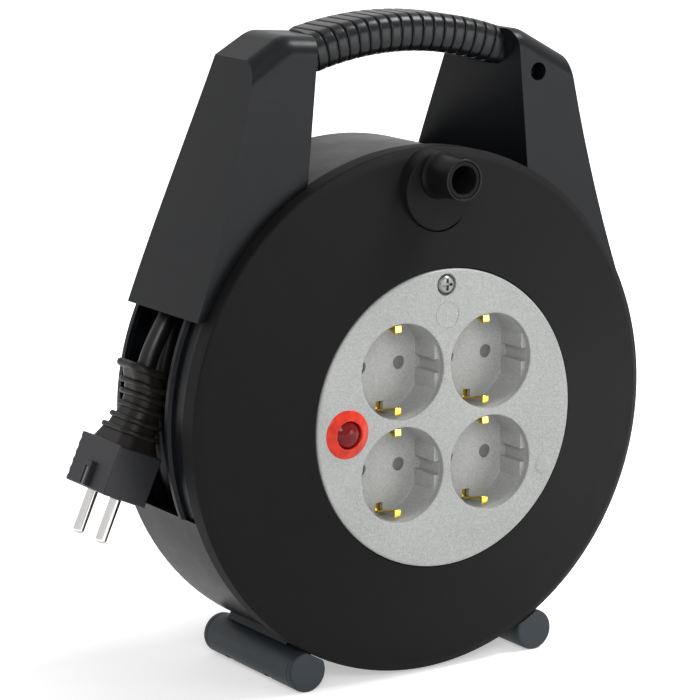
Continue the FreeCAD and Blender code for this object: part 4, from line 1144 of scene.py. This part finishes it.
STAYING = {
    "reel_core": "housing", "rear_flange": "housing", "handle_core": "housing",
    "line_contact_bar": "contact", "neutral_contact_bar": "contact", "earth_bar": "brass",
    "contact_carrier": "inner", "cable_gland": "inner", "gland_nut": "inner", "cutout_body": "inner",
    "carrier_screw": "steel", "drum_screws": "steel", "hub_washer": "steel", "hub_screw": "steel",
    "foot_screws": "steel", "button_spring": "steel", "housing_screws": "black_screw",
    "cable_tail": "cable",
}


def staying_parts():
    """Gives the frame's own inner parts and screws their materials."""
    for node, material in STAYING.items():
        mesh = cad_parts[node].data
        if not mesh.materials:
            mesh.materials.append(MATERIALS[material])
        for index in range(len(mesh.materials)):
            mesh.materials[index] = MATERIALS[material]


def studio_floor(colour):
    """Pale floor that keeps the shadow and looks white further out."""
    rest()
    bpy.ops.mesh.primitive_plane_add(size=12, location=(0, 0, CAD_BOX[0][2]))
    floor = bpy.context.object
    floor.name = "studio_floor"
    finish = Finish("studio floor")
    reach = finish.node(
        "ShaderNodeVectorMath", {"operation": "LENGTH"}, {0: finish.place()}, output="Value")
    white = reach.between(*FLOOR_FADE) * (1 - NEAR_FLOOR_WHITE) + NEAR_FLOOR_WHITE
    cloud = finish.noise(300.0)
    finish.set(
        Base_Color=finish.mix(cloud, tint(colour, 0.98), tint(colour, 1.02)),
        Roughness=0.9,
        Specular_IOR_Level=0.1,
        Emission_Color=finish.seen() * white,
        Emission_Strength=1.0,
    )
    floor.data.materials.append(finish.material)


def white_surroundings():
    """World that looks white and gives less light than that."""
    world = bpy.data.worlds.new("white studio")
    bpy.context.scene.world = world
    nodes = Nodes(world)
    background = nodes.tree.nodes["Background"].inputs
    nodes.feed(background["Color"], (1, 1, 1, 1))
    nodes.feed(background["Strength"], nodes.seen() * (1 - SURROUNDING_LIGHT) + SURROUNDING_LIGHT)


def softboxes():
    """Round lamps that face the reel."""
    target = at(0, 30, 10)
    for name, place, size, power in SOFTBOXES:
        light = bpy.data.lights.new(name, "AREA")
        light.shape = "DISK"
        light.size = size
        light.energy = power
        lamp = linked(name, light)
        lamp.location = place
        lamp.rotation_euler = (target - Vector(place)).to_track_quat("-Z", "Y").to_euler()


# Operators

class REEL_OT_camera(bpy.types.Operator):
    """Places the camera at the photograph's viewing angle and makes the materials"""
    bl_idname = "reel.camera"
    bl_label = "Camera and materials"

    def execute(self, context):
        finish_materials(context.scene.reel_colours)
        photo_camera(context.scene)
        return {"FINISHED"}


class REEL_OT_cable(bpy.types.Operator):
    """Winds the cable on the drum and lays the lead into the plug, with the plug's own pieces"""
    bl_idname = "reel.cable"
    bl_label = "Cable and plug"

    def execute(self, context):
        wound_cable(context)
        lead(context, [plug_body(), plug_sleeve(), *plug_pins(), plug_contacts()])
        return {"FINISHED"}


class REEL_OT_disc(bpy.types.Operator):
    """Makes the front disc with the knob's pad and stub, and the winding knob"""
    bl_idname = "reel.disc"
    bl_label = "Front disc and knob"

    def execute(self, context):
        front_disc(context.scene.reel_sizes.turn_steps)
        winding_knob()
        return {"FINISHED"}


class REEL_OT_sockets(bpy.types.Operator):
    """Makes the socket panel, and the four recesses with their earth clips and shutters"""
    bl_idname = "reel.sockets"
    bl_label = "Panel and sockets"

    def execute(self, context):
        socket_panel(context.scene.reel_sizes.turn_steps)
        sockets()
        small_front_parts()
        return {"FINISHED"}


class REEL_OT_cutout(bpy.types.Operator):
    """Makes the red ring and the reset button of the thermal cut-out"""
    bl_idname = "reel.cutout"
    bl_label = "Thermal cut-out"

    def execute(self, context):
        cutout()
        return {"FINISHED"}


class REEL_OT_housing(bpy.types.Operator):
    """Dresses the housing frame and the rear cover"""
    bl_idname = "reel.housing"
    bl_label = "Housing"

    def execute(self, context):
        housing(context.scene.reel_sizes.edge_rounding)
        return {"FINISHED"}


class REEL_OT_handle(bpy.types.Operator):
    """Makes the ribbed sleeve of the handle"""
    bl_idname = "reel.handle"
    bl_label = "Handle"

    def execute(self, context):
        sizes = context.scene.reel_sizes
        handle_grip(sizes.grip_rings, sizes.ring_height / MM)
        return {"FINISHED"}


class REEL_OT_feet(bpy.types.Operator):
    """Makes the two round feet and their end caps"""
    bl_idname = "reel.feet"
    bl_label = "Feet"

    def execute(self, context):
        feet()
        return {"FINISHED"}


class REEL_OT_inner(bpy.types.Operator):
    """Gives the inner parts and the screws their materials"""
    bl_idname = "reel.inner"
    bl_label = "Inner parts"

    def execute(self, context):
        staying_parts()
        return {"FINISHED"}


class REEL_OT_stage(bpy.types.Operator):
    """Sets up the floor, the white surroundings and the soft lights"""
    bl_idname = "reel.stage"
    bl_label = "Stage"

    def execute(self, context):
        studio_floor(context.scene.reel_colours.floor)
        white_surroundings()
        softboxes()
        context.scene.view_settings.view_transform = "Standard"
        return {"FINISHED"}


OPERATORS = (
    REEL_OT_camera, REEL_OT_cable, REEL_OT_disc, REEL_OT_sockets, REEL_OT_cutout, REEL_OT_housing,
    REEL_OT_handle, REEL_OT_feet, REEL_OT_inner, REEL_OT_stage)


class REEL_PT_pieces(bpy.types.Panel):
    """Lists the reel's pieces with their sizes and colours"""
    bl_idname = "REEL_PT_pieces"
    bl_label = "Extension cord reel"
    bl_space_type = "VIEW_3D"
    bl_region_type = "UI"
    bl_category = "Reel"

    def draw(self, context):
        column = self.layout.column()
        for operator in OPERATORS:
            column.operator(operator.bl_idname)
        for group in (context.scene.reel_sizes, context.scene.reel_colours):
            for name in group.__annotations__:
                column.prop(group, name)


CLASSES = (ReelColours, ReelSizes, *OPERATORS, REEL_PT_pieces)


def register():
    for made in CLASSES:
        bpy.utils.register_class(made)
    bpy.types.Scene.reel_colours = PointerProperty(type=ReelColours)
    bpy.types.Scene.reel_sizes = PointerProperty(type=ReelSizes)


def unregister():
    del bpy.types.Scene.reel_sizes
    del bpy.types.Scene.reel_colours
    for made in reversed(CLASSES):
        bpy.utils.unregister_class(made)


def main():
    """Builds every piece."""
    register()
    bpy.ops.reel.camera()
    bpy.ops.reel.cable()
    bpy.ops.reel.disc()
    bpy.ops.reel.sockets()
    bpy.ops.reel.cutout()
    bpy.ops.reel.housing()
    bpy.ops.reel.handle()
    bpy.ops.reel.feet()
    bpy.ops.reel.inner()
    bpy.ops.reel.stage()


if __name__ == "__main__":
    main()
